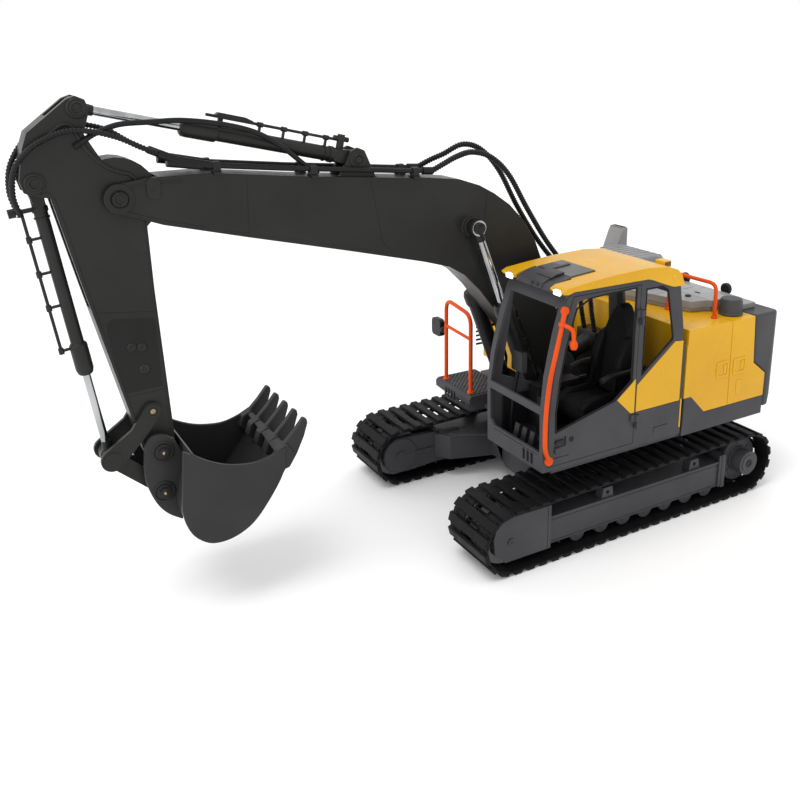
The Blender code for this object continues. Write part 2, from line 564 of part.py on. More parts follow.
def build_body():
    """Engine cover, counterweight, hood parts, rails, step box and inner parts."""
    cavity = [(-34.0, 40.0), (-83.5, 40.0), (-83.5, HOOD_Z - 2.2), (-34.0, HOOD_Z - 2.2)]
    shoulder = [(-50.0, 61.7), (6.0, 61.7), (6.0, 83.0), (2.0, 87.0), (-27.0, 87.0), (-30.5, 108.0),
                (-50.0, 108.0)]
    shoulder_inside = [(-36.0, 58.0), (3.8, 58.0), (3.8, 82.2), (1.2, 84.8), (-28.9, 84.8), (-32.6, 105.8),
                       (-36.0, 105.8)]
    node("engine_cover", "yellow", prism("Y", COVER_PROFILE, -HALF_W, HALF_W),
         [prism("Y", shoulder, -HALF_W, -27.0)],
         [prism("Y", cavity, -HALF_W + 2.0, HALF_W - 2.0),
          prism("Y", shoulder_inside, -HALF_W + 2.0, -29.2),
          box((-32.2, -30.0), (70.0, 80.0), (105.0, 120.0))], roughness=0.35)
    corner = [(-80.0, HALF_W + 5), (-103.0, HALF_W + 0.01), (-109.5, 72.0), (-112.5, 60.0),
              (-115.5, 35.0), (-130.0, 35.0), (-130.0, HALF_W + 5)]
    node("counterweight", "body_grey", prism("Y", WEIGHT_PROFILE, -HALF_W, HALF_W), (),
         [prism("Z", [(x, side * y) for x, y in corner], 40.0, 130.0) for side in (1, -1)], roughness=0.5)
    front_slab = [(-34.4, -24.0), (-57.8, 51.5), (-67.0, 53.5), (-70.0, 56.0), (-85.0, 56.0), (-85.0, -24.0)]
    rear_slab = [(-80.0, -24.0), (-80.0, 52.0), (-88.5, 63.5), (-99.5, 63.5), (-101.0, 40.0), (-101.0, -24.0)]
    node("hood_panel", "light_grey", prism("Z", front_slab, HOOD_Z + 0.6, 121.0),
         [prism("Z", rear_slab, HOOD_Z + 0.6, 117.6)], roughness=0.5)
    air_box = [(-84.5, 121.3), (-84.5, 131.0), (-80.5, 136.6), (-72.5, 138.6), (-56.5, 138.6),
               (-52.5, 134.0), (-52.5, 121.3)]
    node("air_box", "light_grey", prism("Y", air_box, -33.0, 3.0), roughness=0.5)
    stack = [(-85.2, HOOD_Z + GAP), (-69.5, HOOD_Z + GAP), (-75.5, 135.0), (-79.5, 145.5), (-81.0, 148.2),
             (-85.2, 148.2)]
    node("exhaust_stack", "light_grey", prism("Y", stack, -51.0, -37.0), (),
         [box((-84.0, -81.5), (-49.0, -39.0), (142.0, 150.0))], roughness=0.5)
    node("fuel_cap", "dark_grey", disc_z((-76.5, 64.8), 7.0, (HOOD_Z + GAP, 124.1), 20), roughness=0.5)

    rail = smooth_path([(65.2, 77.3, 60.0), (68.6, 78.4, 70.0), (68.9, 78.6, 86.0), (67.0, 78.6, 104.0),
                        (63.6, 78.6, 119.0), (60.6, 78.6, 130.0), (58.0, 77.3, 138.5)], 2)
    node("cab_rail", "orange", sweep(rail, 1.1, 6), roughness=0.4)
    low = HOOD_Z + GAP
    hoop = [(-61.7, 66.0, low), (-61.6, 65.8, 131.5), (-60.6, 63.0, 134.6), (-53.3, 41.6, 137.0),
            (-52.0, 38.6, 134.5), (-51.6, 38.4, low)]
    node("hood_rail", "orange", sweep(hoop, 1.0, 6), roughness=0.4)
    post_a, post_b, loop_x, low = -57.0, -27.5, 47.0, 58.6
    loop = [(loop_x, post_a, low), (loop_x, post_a + 1.0, 98.0), (loop_x, post_a + 3.0, 109.0),
            (loop_x, post_a + 8.0, 113.0), (loop_x, post_b - 4.0, 110.0), (loop_x, post_b, 106.0),
            (loop_x, post_b, low)]
    node("step_rail", "orange", sweep(loop, 1.1, 6),
         [bar((loop_x, post_a + 0.6, 95.0), (loop_x, post_b, 94.0), 0.9, 6)], roughness=0.4)
    node("mirror", "black", box((44.5, 49.0), (-73.5, -62.5), (85.5, 97.0)),
         [bar((46.6, -63.0, 91.0), (46.8, -58.5, 91.0), 1.3, 8)], roughness=0.4)
    step = [(34.4, 48.4), (46.0, 48.4), (51.0, 53.0), (51.0, 56.6), (49.4, 58.3), (20.4, 58.3), (20.4, 52.4),
            (34.4, 52.4)]
    node("step_box", "body_grey", prism("Y", step, -64.0, -22.4), (),
         [box((44.0, 60.0), (-52.0 + 3.4 * i, -50.0 + 3.4 * i), (46.0, 55.0)) for i in range(4)],
         roughness=0.55)

    base = DECK_Z[1] + GAP
    node("battery", "blue", box((-82.0, -58.0), (-32.0, 32.0), (base, 72.0)), roughness=0.4)
    node("circuit_board", "green", box((-55.0, -37.0), (38.0, 70.0), (80.0, 81.6)),
         [box((-50.0, -42.0), (44.0, 54.0), (81.0, 84.0)), box((-53.0, -51.0), (40.0, 42.0), (base, 80.5)),
          box((-53.0, -51.0), (66.0, 68.0), (base, 80.5))], roughness=0.5)
    node("slew_motor", "light_grey", disc_z((-42.5, 0.0), 7.0, (57.4, 78.0), 16),
         [box((-47.0, -32.0), (-10.0, 10.0), (base, 60.0))],
         [disc_z((PINION_X, 0.0), 2.3, (50.0, 57.4), 12)], metallic=0.6)
    node("boom_motor", "light_grey", bar((-28.0, 0.0, 90.0), (-8.0, 0.0, 84.0), 5.5, 16),
         [box((-31.0, -21.0), (-9.0, 9.0), (base, 96.0))], metallic=0.4)


# ---------------------------------------------------------------- cylinders
def cylinder_pair(stem, base, eye, y, sizes, eye_half, base_half):
    """A barrel hinged at its base and a rod that slides in it."""
    radius, rod, length, collar, rod_length = sizes
    run = math.hypot(eye[0] - base[0], eye[1] - base[1])
    pin = 2.2 if radius > 4 else 2.0
    mouth = between(base, eye, length)
    bore_start = between(base, eye, pin + radius + 6.0)
    beyond = between(base, eye, length + 5.0)
    start = between(base, eye, pin + radius + 1.8)
    node(f"{stem}_barrel", "black" if radius > 4 else "dark_grey",
         bar(at(start, y), at(mouth, y), radius, 16),
         [prism("Y", capsule((base, pin + 2.2), (between(base, eye, pin + radius + 4.0), radius - 0.6)),
                y - base_half, y + base_half),
          bar(at(between(base, eye, length - collar), y), at(mouth, y), radius + 0.6, 16)],
         [disc_y(base, pin + GAP, (y - 20, y + 20), 12),
          bar(at(bore_start, y), at(beyond, y), rod + 0.4, 12)],
         origin=at(base, y), roughness=0.4)
    inner = between(base, eye, run - rod_length)
    node(f"{stem}_rod", "chrome", bar(at(inner, y), at(between(base, eye, run - 2.0), y), rod, 12),
         [disc_y(eye, rod + 1.9, (y - eye_half, y + eye_half), 16)],
         origin=at(eye, y), roughness=0.15, metallic=1.0)


def build_boom():
    """Boom, its pipes, its pivot pin and the three cylinders on it."""
    slot = [(236.0, 224.0), (264.0, 224.0), (264.0, 168.0), (206.0, 168.0), (222.0, 190.0), (231.0, 203.0)]
    inside = (-ARM_HALF - 0.4, ARM_HALF + 0.4)
    ear = [(ARM_CYL_BASE[0] - 11.0, 200.0), (ARM_CYL_BASE[0] + 12.0, 201.0),
           (ARM_CYL_BASE[0] + 5.4, 213.0), (ARM_CYL_BASE[0] + 3.8, 216.6), (ARM_CYL_BASE[0], 218.2),
           (ARM_CYL_BASE[0] - 3.8, 216.6), (ARM_CYL_BASE[0] - 5.4, 213.0)]
    adds = []
    for side in (1, -1):
        adds.append(prism("Y", ear, *mirrored(side, 4.2, 6.8)))
        adds.append(disc_y(BOOM_CYL_ROD, 5.2, mirrored(side, BOOM_HALF - 2.0, 12.6), 16))
    adds.append(disc_y(ARM_CYL_BASE, 2.0, (-8.0, 8.0), 12))
    node("boom", "dark_grey", prism("Y", BOOM_OUTLINE, -BOOM_HALF, BOOM_HALF), adds,
         [prism("Y", slot, *inside), disc_y(ARM_PIVOT, 19.0, inside, 28),
          prism("Y", BOOM_CAVITY, -7.6, 7.6), box((96.0, 106.0), (-4.0, 4.0), (150.0, 170.0)),
          disc_y(ARM_PIVOT, 3.6, (-20, 20), 16), disc_y(BOOM_FOOT, 3.3, (-20, 20), 16)],
         origin=at(BOOM_FOOT, 0.0), roughness=0.4)
    node("arm_pivot_pin", "light_grey", disc_y(ARM_PIVOT, 3.3, (-11.2, 11.2), 16), metallic=0.7)
    for name, side in (("left", 1), ("right", -1)):
        y = side * 8.2
        run = [(226.0, y, 216.2), (214.0, y, 215.2), (168.0, y, 210.4), (114.0, y, 205.6), (97.0, y, 204.4)]
        clamps = [box((x - 2.0, x + 2.0), (y - 1.7, y + 1.7), (z, z + 5.0))
                  for x, z in ((212.0, 211.9), (160.0, 206.5), (104.0, 201.7))]
        node(f"boom_pipe_{name}", "black", sweep(run, 1.3, 8), clamps, roughness=0.4)
        cylinder_pair(f"boom_cylinder_{name}", BOOM_CYL_BASE, BOOM_CYL_ROD, side * BOOM_CYL_Y,
                      (4.7, 2.4, 70.5, 8.0, 64.0), 2.9, 3.2)
    cylinder_pair("arm_cylinder", ARM_CYL_BASE, ARM_CYL_ROD, 0.0, (3.6, 2.0, 86.0, 7.0, 70.0), 2.8, 3.8)


def build_arm():
    """Arm, bucket cylinder, lever, link and bucket."""
    drum = disc_y(ARM_PIVOT, 17.6, (-ARM_HALF, ARM_HALF), 28)
    base = BUCKET_CYL_BASE
    node("arm", "dark_grey", prism("Y", ARM_OUTLINE, -ARM_HALF, ARM_HALF),
         [drum, disc_y(ARM_CYL_ROD, 4.0, (4.0, ARM_HALF + 0.9), 16),
          disc_y(ARM_CYL_ROD, 4.0, (-ARM_HALF - 0.9, -4.0), 16)],
         [disc_y(ARM_CYL_ROD, 12.5, (-3.3, 3.3), 20),
          disc_y(base, 8.0, (-4.2, 4.2), 20),
          prism("Y", [(base[0] - 8.0, base[1] + 1), (base[0] + 12.0, base[1] + 1), (base[0] + 12.0, 180.0),
                      (262.0, 150.0), (base[0] - 11.5, 190.0)], -4.2, 4.2),
          disc_y(ARM_PIVOT, 3.6, (-20, 20), 16), disc_y(LEVER_PIVOT, 2.3, (-20, 20), 12),
          disc_y(BUCKET_PIVOT, 2.8, (-20, 20), 12)],
         origin=at(ARM_PIVOT, 0.0), roughness=0.4)
    cylinder_pair("bucket_cylinder", base, LINK_TOP, 0.0, (2.9, 1.8, 88.0, 8.0, 54.0), 2.5, 3.6)
    blade = [(LEVER_PIVOT, 4.6), (LINK_TOP, 5.2)]
    plates = []
    for side in (1, -1):
        plates.append(prism("Y", capsule(*blade), *mirrored(side, ARM_HALF + GAP, 9.3)))
    node("idler_lever", "dark_grey", disc_y(LEVER_PIVOT, 2.0, (-10.0, 10.0), 12), plates,
         origin=at(LEVER_PIVOT, 0.0), roughness=0.4)
    link = capsule((LINK_FOOT, 3.8), (LINK_TOP, 4.0))
    node("bucket_link", "dark_grey", disc_y(LINK_FOOT, 3.7, (-5.6, 5.6), 16),
         [prism("Y", link, *mirrored(side, 3.0, 5.6)) for side in (1, -1)],
         [disc_y(LINK_FOOT, 2.3, (-20, 20), 12)], origin=at(LINK_FOOT, 0.0), roughness=0.4)
    adds = [prism("Y", BUCKET_EAR, *mirrored(side, 9.8, 12.4)) for side in (1, -1)]
    adds.append(disc_y(BUCKET_PIVOT, 2.5, (-13.4, 13.4), 12))
    adds.append(disc_y(LINK_FOOT, 2.0, (-13.4, 13.4), 12))
    tooth = [(191.0, 69.5), (187.4, 70.0), (183.4, 80.0), (179.2, 90.0), (184.0, 86.4), (189.4, 80.5)]
    for i in range(5):
        y = (i - 2) * 13.1
        adds.append(prism("Y", tooth, y - 3.0, y + 3.0))
    node("bucket", "dark_grey", prism("Y", BUCKET_OUTER, -BUCKET_HALF, BUCKET_HALF), adds,
         [prism("Y", BUCKET_HOLLOW, -BUCKET_HALF + 2.0, BUCKET_HALF - 2.0)],
         origin=at(BUCKET_PIVOT, 0.0), roughness=0.4)


def capsule(first, second, steps=6):
    """Outline of a flat bar with round ends: two (centre, radius) pairs."""
    (a, ra), (b, rb) = first, second
    way = math.atan2(b[1] - a[1], b[0] - a[0])
    points = []
    for (centre, radius), start in (((a, ra), way + math.pi / 2), ((b, rb), way - math.pi / 2)):
        for i in range(steps + 1):
            angle = start + math.pi * i / steps
            points.append((centre[0] + radius * math.cos(angle),
                           centre[1] + radius * math.sin(angle)))
    return points


def build_hoses():
    """Rubber hoses that bridge the arm's joint and the boom's foot."""
    for name, side, lift in (("left", 1, 0.0), ("right", -1, 1.0)):
        y = side * 9.4
        arm_route = smooth_path([(226.5, side * 8.2, 219.2), (238.0, y, 224.6), (252.0, y, 231.4 + lift),
                                 (268.0, y, 233.6 + lift), (283.0, y, 230.6 + lift),
                                 (294.5, side * 7.5, 219.0), (296.0, side * 5.0, 207.0),
                                 (293.0, side * 3.6, 198.0)], 3)
        node(f"arm_hose_{name}", "black", sweep(arm_route, 1.4, 6), roughness=0.7)
        y = side * 5.0
        foot_route = smooth_path([(93.5, side * 8.2, 204.2), (78.0, side * 7.0, 210.0),
                                  (62.0, y, 212.0 + 2 * lift), (44.0, y, 199.0 + 2 * lift), (28.0, y, 176.0),
                                  (10.0, y, 144.0), (-8.0, y, 122.0), (-28.5, y * 1.5, 108.0)], 3)
        node(f"foot_hose_{name}", "black", sweep(foot_route, 1.4, 6), roughness=0.7)


def main():
    """Clear the scene and build every node."""
    for obj in list(bpy.data.objects):
        bpy.data.objects.remove(obj, do_unlink=True)
    for name, side in (("left", 1), ("right", -1)):
        build_tracks(name, side)
    build_centre_frame()
    build_slew_gear()
    build_deck()
    build_cab()
    build_body()
    build_boom()
    build_arm()
    build_hoses()


main()
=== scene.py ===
"""The looks of a radio-controlled toy excavator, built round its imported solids.

Shapes are written in millimetres, with X measured from the slewing axis, Y to the
machine's left and Z up. build_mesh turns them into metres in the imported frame.
"""
import json
from math import acos, asin, atan2, cos, hypot, pi, radians, sin, tau

import bmesh
import bpy
from mathutils import Matrix, Vector


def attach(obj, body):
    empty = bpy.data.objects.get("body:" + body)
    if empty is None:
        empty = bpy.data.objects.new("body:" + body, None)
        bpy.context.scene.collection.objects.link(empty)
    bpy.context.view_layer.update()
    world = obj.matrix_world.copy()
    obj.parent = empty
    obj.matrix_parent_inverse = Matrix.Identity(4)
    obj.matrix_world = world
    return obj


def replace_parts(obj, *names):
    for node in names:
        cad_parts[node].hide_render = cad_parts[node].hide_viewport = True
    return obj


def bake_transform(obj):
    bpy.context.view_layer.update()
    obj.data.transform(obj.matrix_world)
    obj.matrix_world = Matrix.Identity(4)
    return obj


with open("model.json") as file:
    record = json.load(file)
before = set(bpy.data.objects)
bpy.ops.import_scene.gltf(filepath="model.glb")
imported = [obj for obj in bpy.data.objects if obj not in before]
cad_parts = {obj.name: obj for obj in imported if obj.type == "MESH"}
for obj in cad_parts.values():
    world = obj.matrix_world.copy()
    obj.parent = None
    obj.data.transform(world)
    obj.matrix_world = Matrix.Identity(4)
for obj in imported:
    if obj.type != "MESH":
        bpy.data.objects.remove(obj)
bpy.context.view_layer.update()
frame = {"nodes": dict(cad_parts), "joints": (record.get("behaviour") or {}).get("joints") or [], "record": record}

MM = 0.001
RECORD = frame["record"]
JOINTS = {joint["name"]: joint for joint in frame["joints"]}
BODY_OF = {node: body for body, nodes in RECORD["behaviour"]["bodies"].items() for node in nodes}
SLOT_OF = {part["node"]: part["material_slot"] for part in RECORD["subparts"]}
SLEW_X = JOINTS["slew"]["pos_m"][0] / MM


def pivot(name):
    """The (x, z) of a joint's axis, in millimetres from the slewing axis."""
    x, _, z = JOINTS[name]["pos_m"]
    return x / MM - SLEW_X, z / MM


BOOM_FOOT = pivot("boom_lift")
ARM_PIVOT = pivot("arm_swing")
BUCKET_PIVOT = pivot("bucket_curl")
LEVER_PIVOT = pivot("idler_lever_swing")
LINK_FOOT = pivot("bucket_link_swing")
BOOM_CYL_BASE = pivot("boom_barrel_left_swing")
ARM_CYL_BASE = pivot("arm_barrel_swing")
BUCKET_CYL_BASE = pivot("bucket_barrel_swing")
IDLER = pivot("idler_left_spin")
SPROCKET = pivot("sprocket_left_spin")
BOOM_CYL_ROD = (71, 173)
ARM_CYL_ROD = (263.2, 241.8)
LINK_TOP = (266, 82.4)
BOOM_CYL_Y = 16
BOOM_HALF, ARM_HALF = 10, 7
# the hood's height, and y of the cab's and the engine body's left side
HOOD_Z, CAB_SIDE = 114.1, 76
SIDES = (1, -1)
NAMED_SIDES = (("left", 1), ("right", -1))
# shading angles in degrees: plates stay flat up to their rounded edges, and a hose's wrap is smooth
CRISP, HOSE_SOFT = 14, 60


# ---- shapes
def prism(axis, outline, low, high):
    """An outline pushed along one axis; the outline holds the other two coordinates."""
    def place(a, b, t):
        return {"X": (t, a, b), "Y": (a, t, b), "Z": (a, b, t)}[axis]
    count = len(outline)
    verts = [place(a, b, low) for a, b in outline] + [place(a, b, high) for a, b in outline]
    faces = [list(range(count)), list(range(2 * count - 1, count - 1, -1))]
    faces += [[i, (i + 1) % count, count + (i + 1) % count, count + i] for i in range(count)]
    return verts, faces


def box(x, y, z):
    """A box from three (low, high) pairs."""
    return prism("Z", [(x[0], y[0]), (x[1], y[0]), (x[1], y[1]), (x[0], y[1])], z[0], z[1])


def circle(centre, radius, sides, start=0):
    """Corners of a regular outline, around a centre."""
    return [(centre[0] + radius * cos(start + tau * i / sides), centre[1]
        + radius * sin(start + tau * i / sides)) for i in range(sides)]


def rounded(x, z, radius, steps=4):
    """Outline of a rectangle with round corners, from two (low, high) pairs."""
    points = []
    for cx, cz, quarter in ((x[1] - radius, z[1] - radius, 0), (x[0] + radius, z[1] - radius, 1),
            (x[0] + radius, z[0] + radius, 2), (x[1] - radius, z[0] + radius, 3)):
        for i in range(steps + 1):
            angle = (quarter + i / steps) * pi / 2
            points.append((cx + radius * cos(angle), cz + radius * sin(angle)))
    return points


def skin(rings, start=0, end=0):
    """A shape through rings of equally many points; start and end are 1 or -1 where a face closes it."""
    count = len(rings[0])
    verts = [tuple(point) for ring in rings for point in ring]
    last = len(verts) - count
    faces = []
    for low in range(0, last, count):
        for i in range(count):
            a, b = low + i, low + (i + 1) % count
            faces.append([a, b, b + count, a + count])
    if start:
        faces.append(list(range(count))[::start])
    if end:
        faces.append(list(range(last, last + count))[::end])
    return verts, faces


def lathe(axis, centre, profile, sides=24):
    """A turned shape: (radius, position along the axis) pairs spun round a centre."""
    rings = []
    for radius, t in profile:
        ring = circle(centre, max(radius, 0.01), sides)
        rings.append([{"X": (t, a, b), "Y": (a, t, b), "Z": (a, b, t)}[axis] for a, b in ring])
    return skin(rings, 1, -1)


def turned(centre, side, profile, sides=24):
    """A turned shape along Y; its profile is measured outwards on one side of the machine."""
    return lathe("Y", centre, [(radius, side * y) for radius, y in profile], sides)


def tube(path, radius, sides=10, radii=None):
    """A round bar along a path of 3-D points; radii may give one radius per point."""
    points = [Vector(p) for p in path]
    rings, normal = [], None
    for i, point in enumerate(points):
        ahead = (points[min(i + 1, len(points) - 1)] - points[max(i - 1, 0)]).normalized()
        if normal is None:
            normal = ahead.orthogonal().normalized()
        normal = (normal - ahead * normal.dot(ahead)).normalized()
        other = ahead.cross(normal)
        here = radius if radii is None else radii[i]
        angles = [tau * k / sides for k in range(sides)]
        rings.append([point + here * (cos(angle) * normal + sin(angle) * other) for angle in angles])
    return skin(rings, -1, 1)


def smooth_path(corners, steps):
    """Points of a smooth curve that passes through every corner."""
    points = [Vector(c) for c in corners]
    ends = [points[0] * 2 - points[1]] + points + [points[-1] * 2 - points[-2]]
    path = []
    for i in range(1, len(ends) - 2):
        before, here, there, after = ends[i - 1:i + 3]
        for s in range(steps):
            t = s / steps
            path.append(0.5 * ((2 * here) + (there - before) * t + (2 * before - 5 * here + 4 * there
                - after) * t * t + (3 * here - before - 3 * there + after) * t ** 3))
    path.append(points[-1])
    return path


def even_path(corners, spacing):
    """The smooth curve through the corners, with points at an even spacing."""
    dense = smooth_path(corners, 24)
    path, travelled = [dense[0]], 0
    for before, here in zip(dense, dense[1:]):
        step = (here - before).length
        while travelled + step >= spacing:
            before = before.lerp(here, (spacing - travelled) / step)
            path.append(before.copy())
            step = (here - before).length
            travelled = 0
        travelled += step
    return path


def bent_bar(corners, radius, turn, sides=12):
    """A round bar with straight runs and round corners of one turning radius."""
    points = [Vector(c) for c in corners]
    path = [points[0]]
    for before, here, after in zip(points, points[1:], points[2:]):
        back, ahead = (before - here).normalized(), (after - here).normalized()
        reach = min(turn, (before - here).length * 0.45, (after - here).length * 0.45)
        for i in range(7):
            t = i / 6
            path.append(here + back * reach * (1 - t) ** 2 + ahead * reach * t ** 2)
    path.append(points[-1])
    return tube(path, radius, sides)


def wrapped_hose(corners, radius, pitch=1.5):
    """A hose in a spiral wrap: its radius rises and falls along its run."""
    path = even_path(corners, pitch / 4)
    radii = [radius * (1 + 0.16 * cos(tau * i / 4)) for i in range(len(path))]
    return tube(path, radius, 12, radii)


def capsule(first, second, steps=10):
    """Outline of a flat bar with round ends: two (centre, radius) pairs."""
    (a, ra), (b, rb) = first, second
    way = atan2(b[1] - a[1], b[0] - a[0])
    lean = acos((ra - rb) / hypot(b[0] - a[0], b[1] - a[1]))
    points = []
    for (centre, radius), start, sweep in (((a, ra), way + lean, tau - 2 * lean),
            ((b, rb), way - lean, 2 * lean)):
        for i in range(steps + 1):
            angle = start + sweep * i / steps
            points.append((centre[0] + radius * cos(angle), centre[1] + radius * sin(angle)))
    return points


def curve(corners, steps=4):
    """A smooth open outline through flat (x, z) corners."""
    return [(p.x, p.z) for p in smooth_path([(x, 0, z) for x, z in corners], steps)]


def lip(path, y, radius):
    """A half-round raised line along an (x, z) path on a side face."""
    return tube([at(p, y) for p in curve(path, 3)], radius, 8)


def between(a, b, distance):
    """The (x, z) point at a distance from a on the way to b."""
    length = hypot(b[0] - a[0], b[1] - a[1])
    return a[0] + (b[0] - a[0]) * distance / length, a[1] + (b[1] - a[1]) * distance / length


def beside(a, b, distance, offset):
    """As between, then moved square to the line by an offset, to its left."""
    x, z = between(a, b, distance)
    length = hypot(b[0] - a[0], b[1] - a[1])
    return x - (b[1] - a[1]) * offset / length, z + (b[0] - a[0]) * offset / length


def bar(line, first, second, radius, sides, y=0):
    """A straight bar between two (distance, offset) places beside a line of two (x, z) points."""
    return tube([at(beside(*line, *first), y), at(beside(*line, *second), y)], radius, sides)


def at(point, y):
    """An (x, z) point placed at a y."""
    return point[0], y, point[1]


def ys(side, low, high):
    """A (low, high) pair of y values on one side of the machine."""
    return (low, high) if side > 0 else (-high, -low)


def slab(outline, side, low, high):
    """An outline pushed along Y on one side of the machine, between two distances from its middle."""
    return prism("Y", outline, *ys(side, low, high))


def bolt(centre, face, side, radius, height=1):
    """A washer and a six-sided head with a small dished end, standing out along Y."""
    def out(depth):
        return face + side * depth
    washer = lathe("Y", centre, [(radius, out(-0.3)), (radius, out(0.25 * height)),
        (radius * 0.86, out(0.36 * height))], 20)
    head = prism("Y", circle(centre, radius * 0.66, 6, 0.3), *sorted((out(0.2 * height), out(height))))
    dish = lathe("Y", centre, [(radius * 0.3, out(height * 0.9)), (radius * 0.3, out(height * 1.15)),
        (radius * 0.18, out(height * 1.2))], 12)
    return [washer, head, dish]


def pin_end(centre, face, side, radius, height=0.8):
    """A turned pin end: a raised rim round a recessed centre, standing out along Y."""
    def out(depth):
        return face + side * depth
    return lathe("Y", centre, [(radius, out(-0.4)), (radius, out(height * 0.7)),
        (radius * 0.92, out(height)), (radius * 0.74, out(height)), (radius * 0.62, out(height * 0.35)),
        (radius * 0.3, out(height * 0.3)), (radius * 0.1, out(height * 0.2))], 24)


def pin_ends(centre, face, radius, height):
    """The same pin end on both sides."""
    return [pin_end(centre, side * face, side, radius, height) for side in SIDES]


# ---- materials
LOOKS = {}


def surface(name, dark, light, roughness, spread=0.1, patch=45, grain=1500, relief=0.25, metallic=0,
        edge_wear_and_highlight=0, stretch=(1, 1, 1), specular=0.5):
    """A moulded or painted finish: mottled colour, uneven gloss, fine grain, and lighter edges that stand for wear
    with a painted highlight.
    """
    mat = bpy.data.materials.new(name)
    mat.use_nodes = True
    nodes, links = mat.node_tree.nodes, mat.node_tree.links
    shader = nodes["Principled BSDF"]
    shader.inputs["Metallic"].default_value = metallic
    shader.inputs["Specular IOR Level"].default_value = specular

    def add(kind, **values):
        """A node with values on its sockets; an underscore stands for a space in a socket's name."""
        node = nodes.new(kind)
        for socket, value in values.items():
            node.inputs[socket.replace("_", " ")].default_value = value
        return node

    def noise(size, detail):
        texture = add("ShaderNodeTexNoise", Scale=size, Detail=detail)
        links.new(scale.outputs["Vector"], texture.inputs["Vector"])
        return texture.outputs["Fac"]

    place = add("ShaderNodeTexCoord")
    scale = add("ShaderNodeMapping", Scale=stretch)
    links.new(place.outputs["Object"], scale.inputs["Vector"])

    ramp = add("ShaderNodeValToRGB")
    ramp.color_ramp.elements[0].position = 0.32
    ramp.color_ramp.elements[1].position = 0.68
    ramp.color_ramp.elements[0].color = (*dark, 1)
    ramp.color_ramp.elements[1].color = (*light, 1)
    links.new(noise(patch, 5), ramp.inputs["Fac"])
    colour = ramp.outputs["Color"]
    # lighter edges where the mesh is pointed: wear along the edges, with a painted highlight on the rounded edges
    if edge_wear_and_highlight:
        geometry = add("ShaderNodeNewGeometry")
        edge = add("ShaderNodeMapRange", From_Min=0.52, From_Max=0.62, To_Max=edge_wear_and_highlight)
        links.new(geometry.outputs["Pointiness"], edge.inputs["Value"])
        mix = add("ShaderNodeMix")
        mix.data_type = "RGBA"
        links.new(edge.outputs["Result"], mix.inputs["Factor"])
        links.new(colour, mix.inputs[6])
        mix.inputs[7].default_value = (*[min(1, c * 2.2 + 0.05) for c in light], 1)
        colour = mix.outputs[2]
    links.new(colour, shader.inputs["Base Color"])
    gloss = add("ShaderNodeMapRange", From_Min=0.3, From_Max=0.7, To_Min=max(0.02,
        roughness - spread / 2), To_Max=roughness + spread / 2)
    links.new(noise(patch * 3.7, 3), gloss.inputs["Value"])
    links.new(gloss.outputs["Result"], shader.inputs["Roughness"])
    bump = add("ShaderNodeBump", Strength=relief, Distance=0.00006)
    links.new(noise(grain, 2), bump.inputs["Height"])
    links.new(bump.outputs["Normal"], shader.inputs["Normal"])
    LOOKS[name] = mat
    return mat


surface("charcoal", (0.0130, 0.0130, 0.0122), (0.019, 0.019, 0.0181), 0.36, patch=30, grain=2200,
    relief=0.16, specular=0.2)
surface("grey", (0.040, 0.040, 0.044), (0.052, 0.052, 0.057), 0.44, patch=36, grain=2600, relief=0.22,
    specular=0.22)
surface("grey_bucket", (0.021, 0.021, 0.021), (0.029, 0.029, 0.0295), 0.42, patch=30, grain=2300,
    relief=0.2, specular=0.2)
surface("hood_grey", (0.20, 0.20, 0.202), (0.25, 0.25, 0.253), 0.42, 0.12, patch=40, grain=1900,
    relief=0.3, edge_wear_and_highlight=0.2, specular=0.4)
surface("yellow", (0.60, 0.305, 0.003), (0.67, 0.355, 0.005), 0.3, patch=22, grain=1400, relief=0.08,
    edge_wear_and_highlight=0.1, specular=0.28)
surface("orange", (0.60, 0.058, 0.002), (0.68, 0.076, 0.003), 0.40, patch=60, grain=2400, relief=0.10,
    specular=0.16)
surface("black", (0.004, 0.004, 0.0045), (0.008, 0.008, 0.009), 0.4, 0.12, patch=70, grain=2600,
    relief=0.25, edge_wear_and_highlight=0.2, specular=0.25)
surface("rubber", (0.0018, 0.0018, 0.0018), (0.0036, 0.0035, 0.0034), 0.5, 0.16, patch=90, grain=1500,
    relief=0.4, edge_wear_and_highlight=0.15, specular=0.12)
surface("hose", (0.003, 0.003, 0.0033), (0.007, 0.007, 0.0075), 0.45, 0.12, patch=120, grain=3000,
    relief=0.3, specular=0.25)
surface("seat", (0.003, 0.003, 0.0033), (0.006, 0.006, 0.0065), 0.7, 0.12, patch=80, grain=3600,
    relief=0.8, specular=0.2)
surface("chrome", (0.30, 0.31, 0.315), (0.46, 0.47, 0.48), 0.14, patch=150, grain=900, relief=0.05,
    metallic=1, stretch=(1, 1, 0.15))
surface("steel", (0.16, 0.16, 0.165), (0.24, 0.24, 0.25), 0.36, 0.14, patch=160, grain=2600, relief=0.12,
    metallic=1)
surface("dark_steel", (0.04, 0.04, 0.042), (0.07, 0.07, 0.075), 0.36, 0.14, patch=160, grain=2600,
    relief=0.15, metallic=0.8)
surface("hatch", (0.075, 0.078, 0.070), (0.10, 0.103, 0.094), 0.34, patch=34, grain=1900, relief=0.15,
    specular=0.3)
# painted shade: the darker tone of the arm's side panels
surface("panel_shade", (0.0085, 0.0085, 0.0080), (0.012, 0.012, 0.0115), 0.4, patch=30, grain=2200,
    relief=0.2, specular=0.18)
surface("brown", (0.075, 0.045, 0.030), (0.10, 0.062, 0.042), 0.5)
surface("brass", (0.30, 0.24, 0.12), (0.42, 0.34, 0.18), 0.32, metallic=1)
surface("nylon", (0.45, 0.45, 0.42), (0.56, 0.56, 0.53), 0.5, relief=0.15)
surface("wrap_blue", (0.015, 0.05, 0.25), (0.03, 0.08, 0.36), 0.3)
surface("board", (0.02, 0.17, 0.06), (0.04, 0.26, 0.10), 0.45, patch=300)


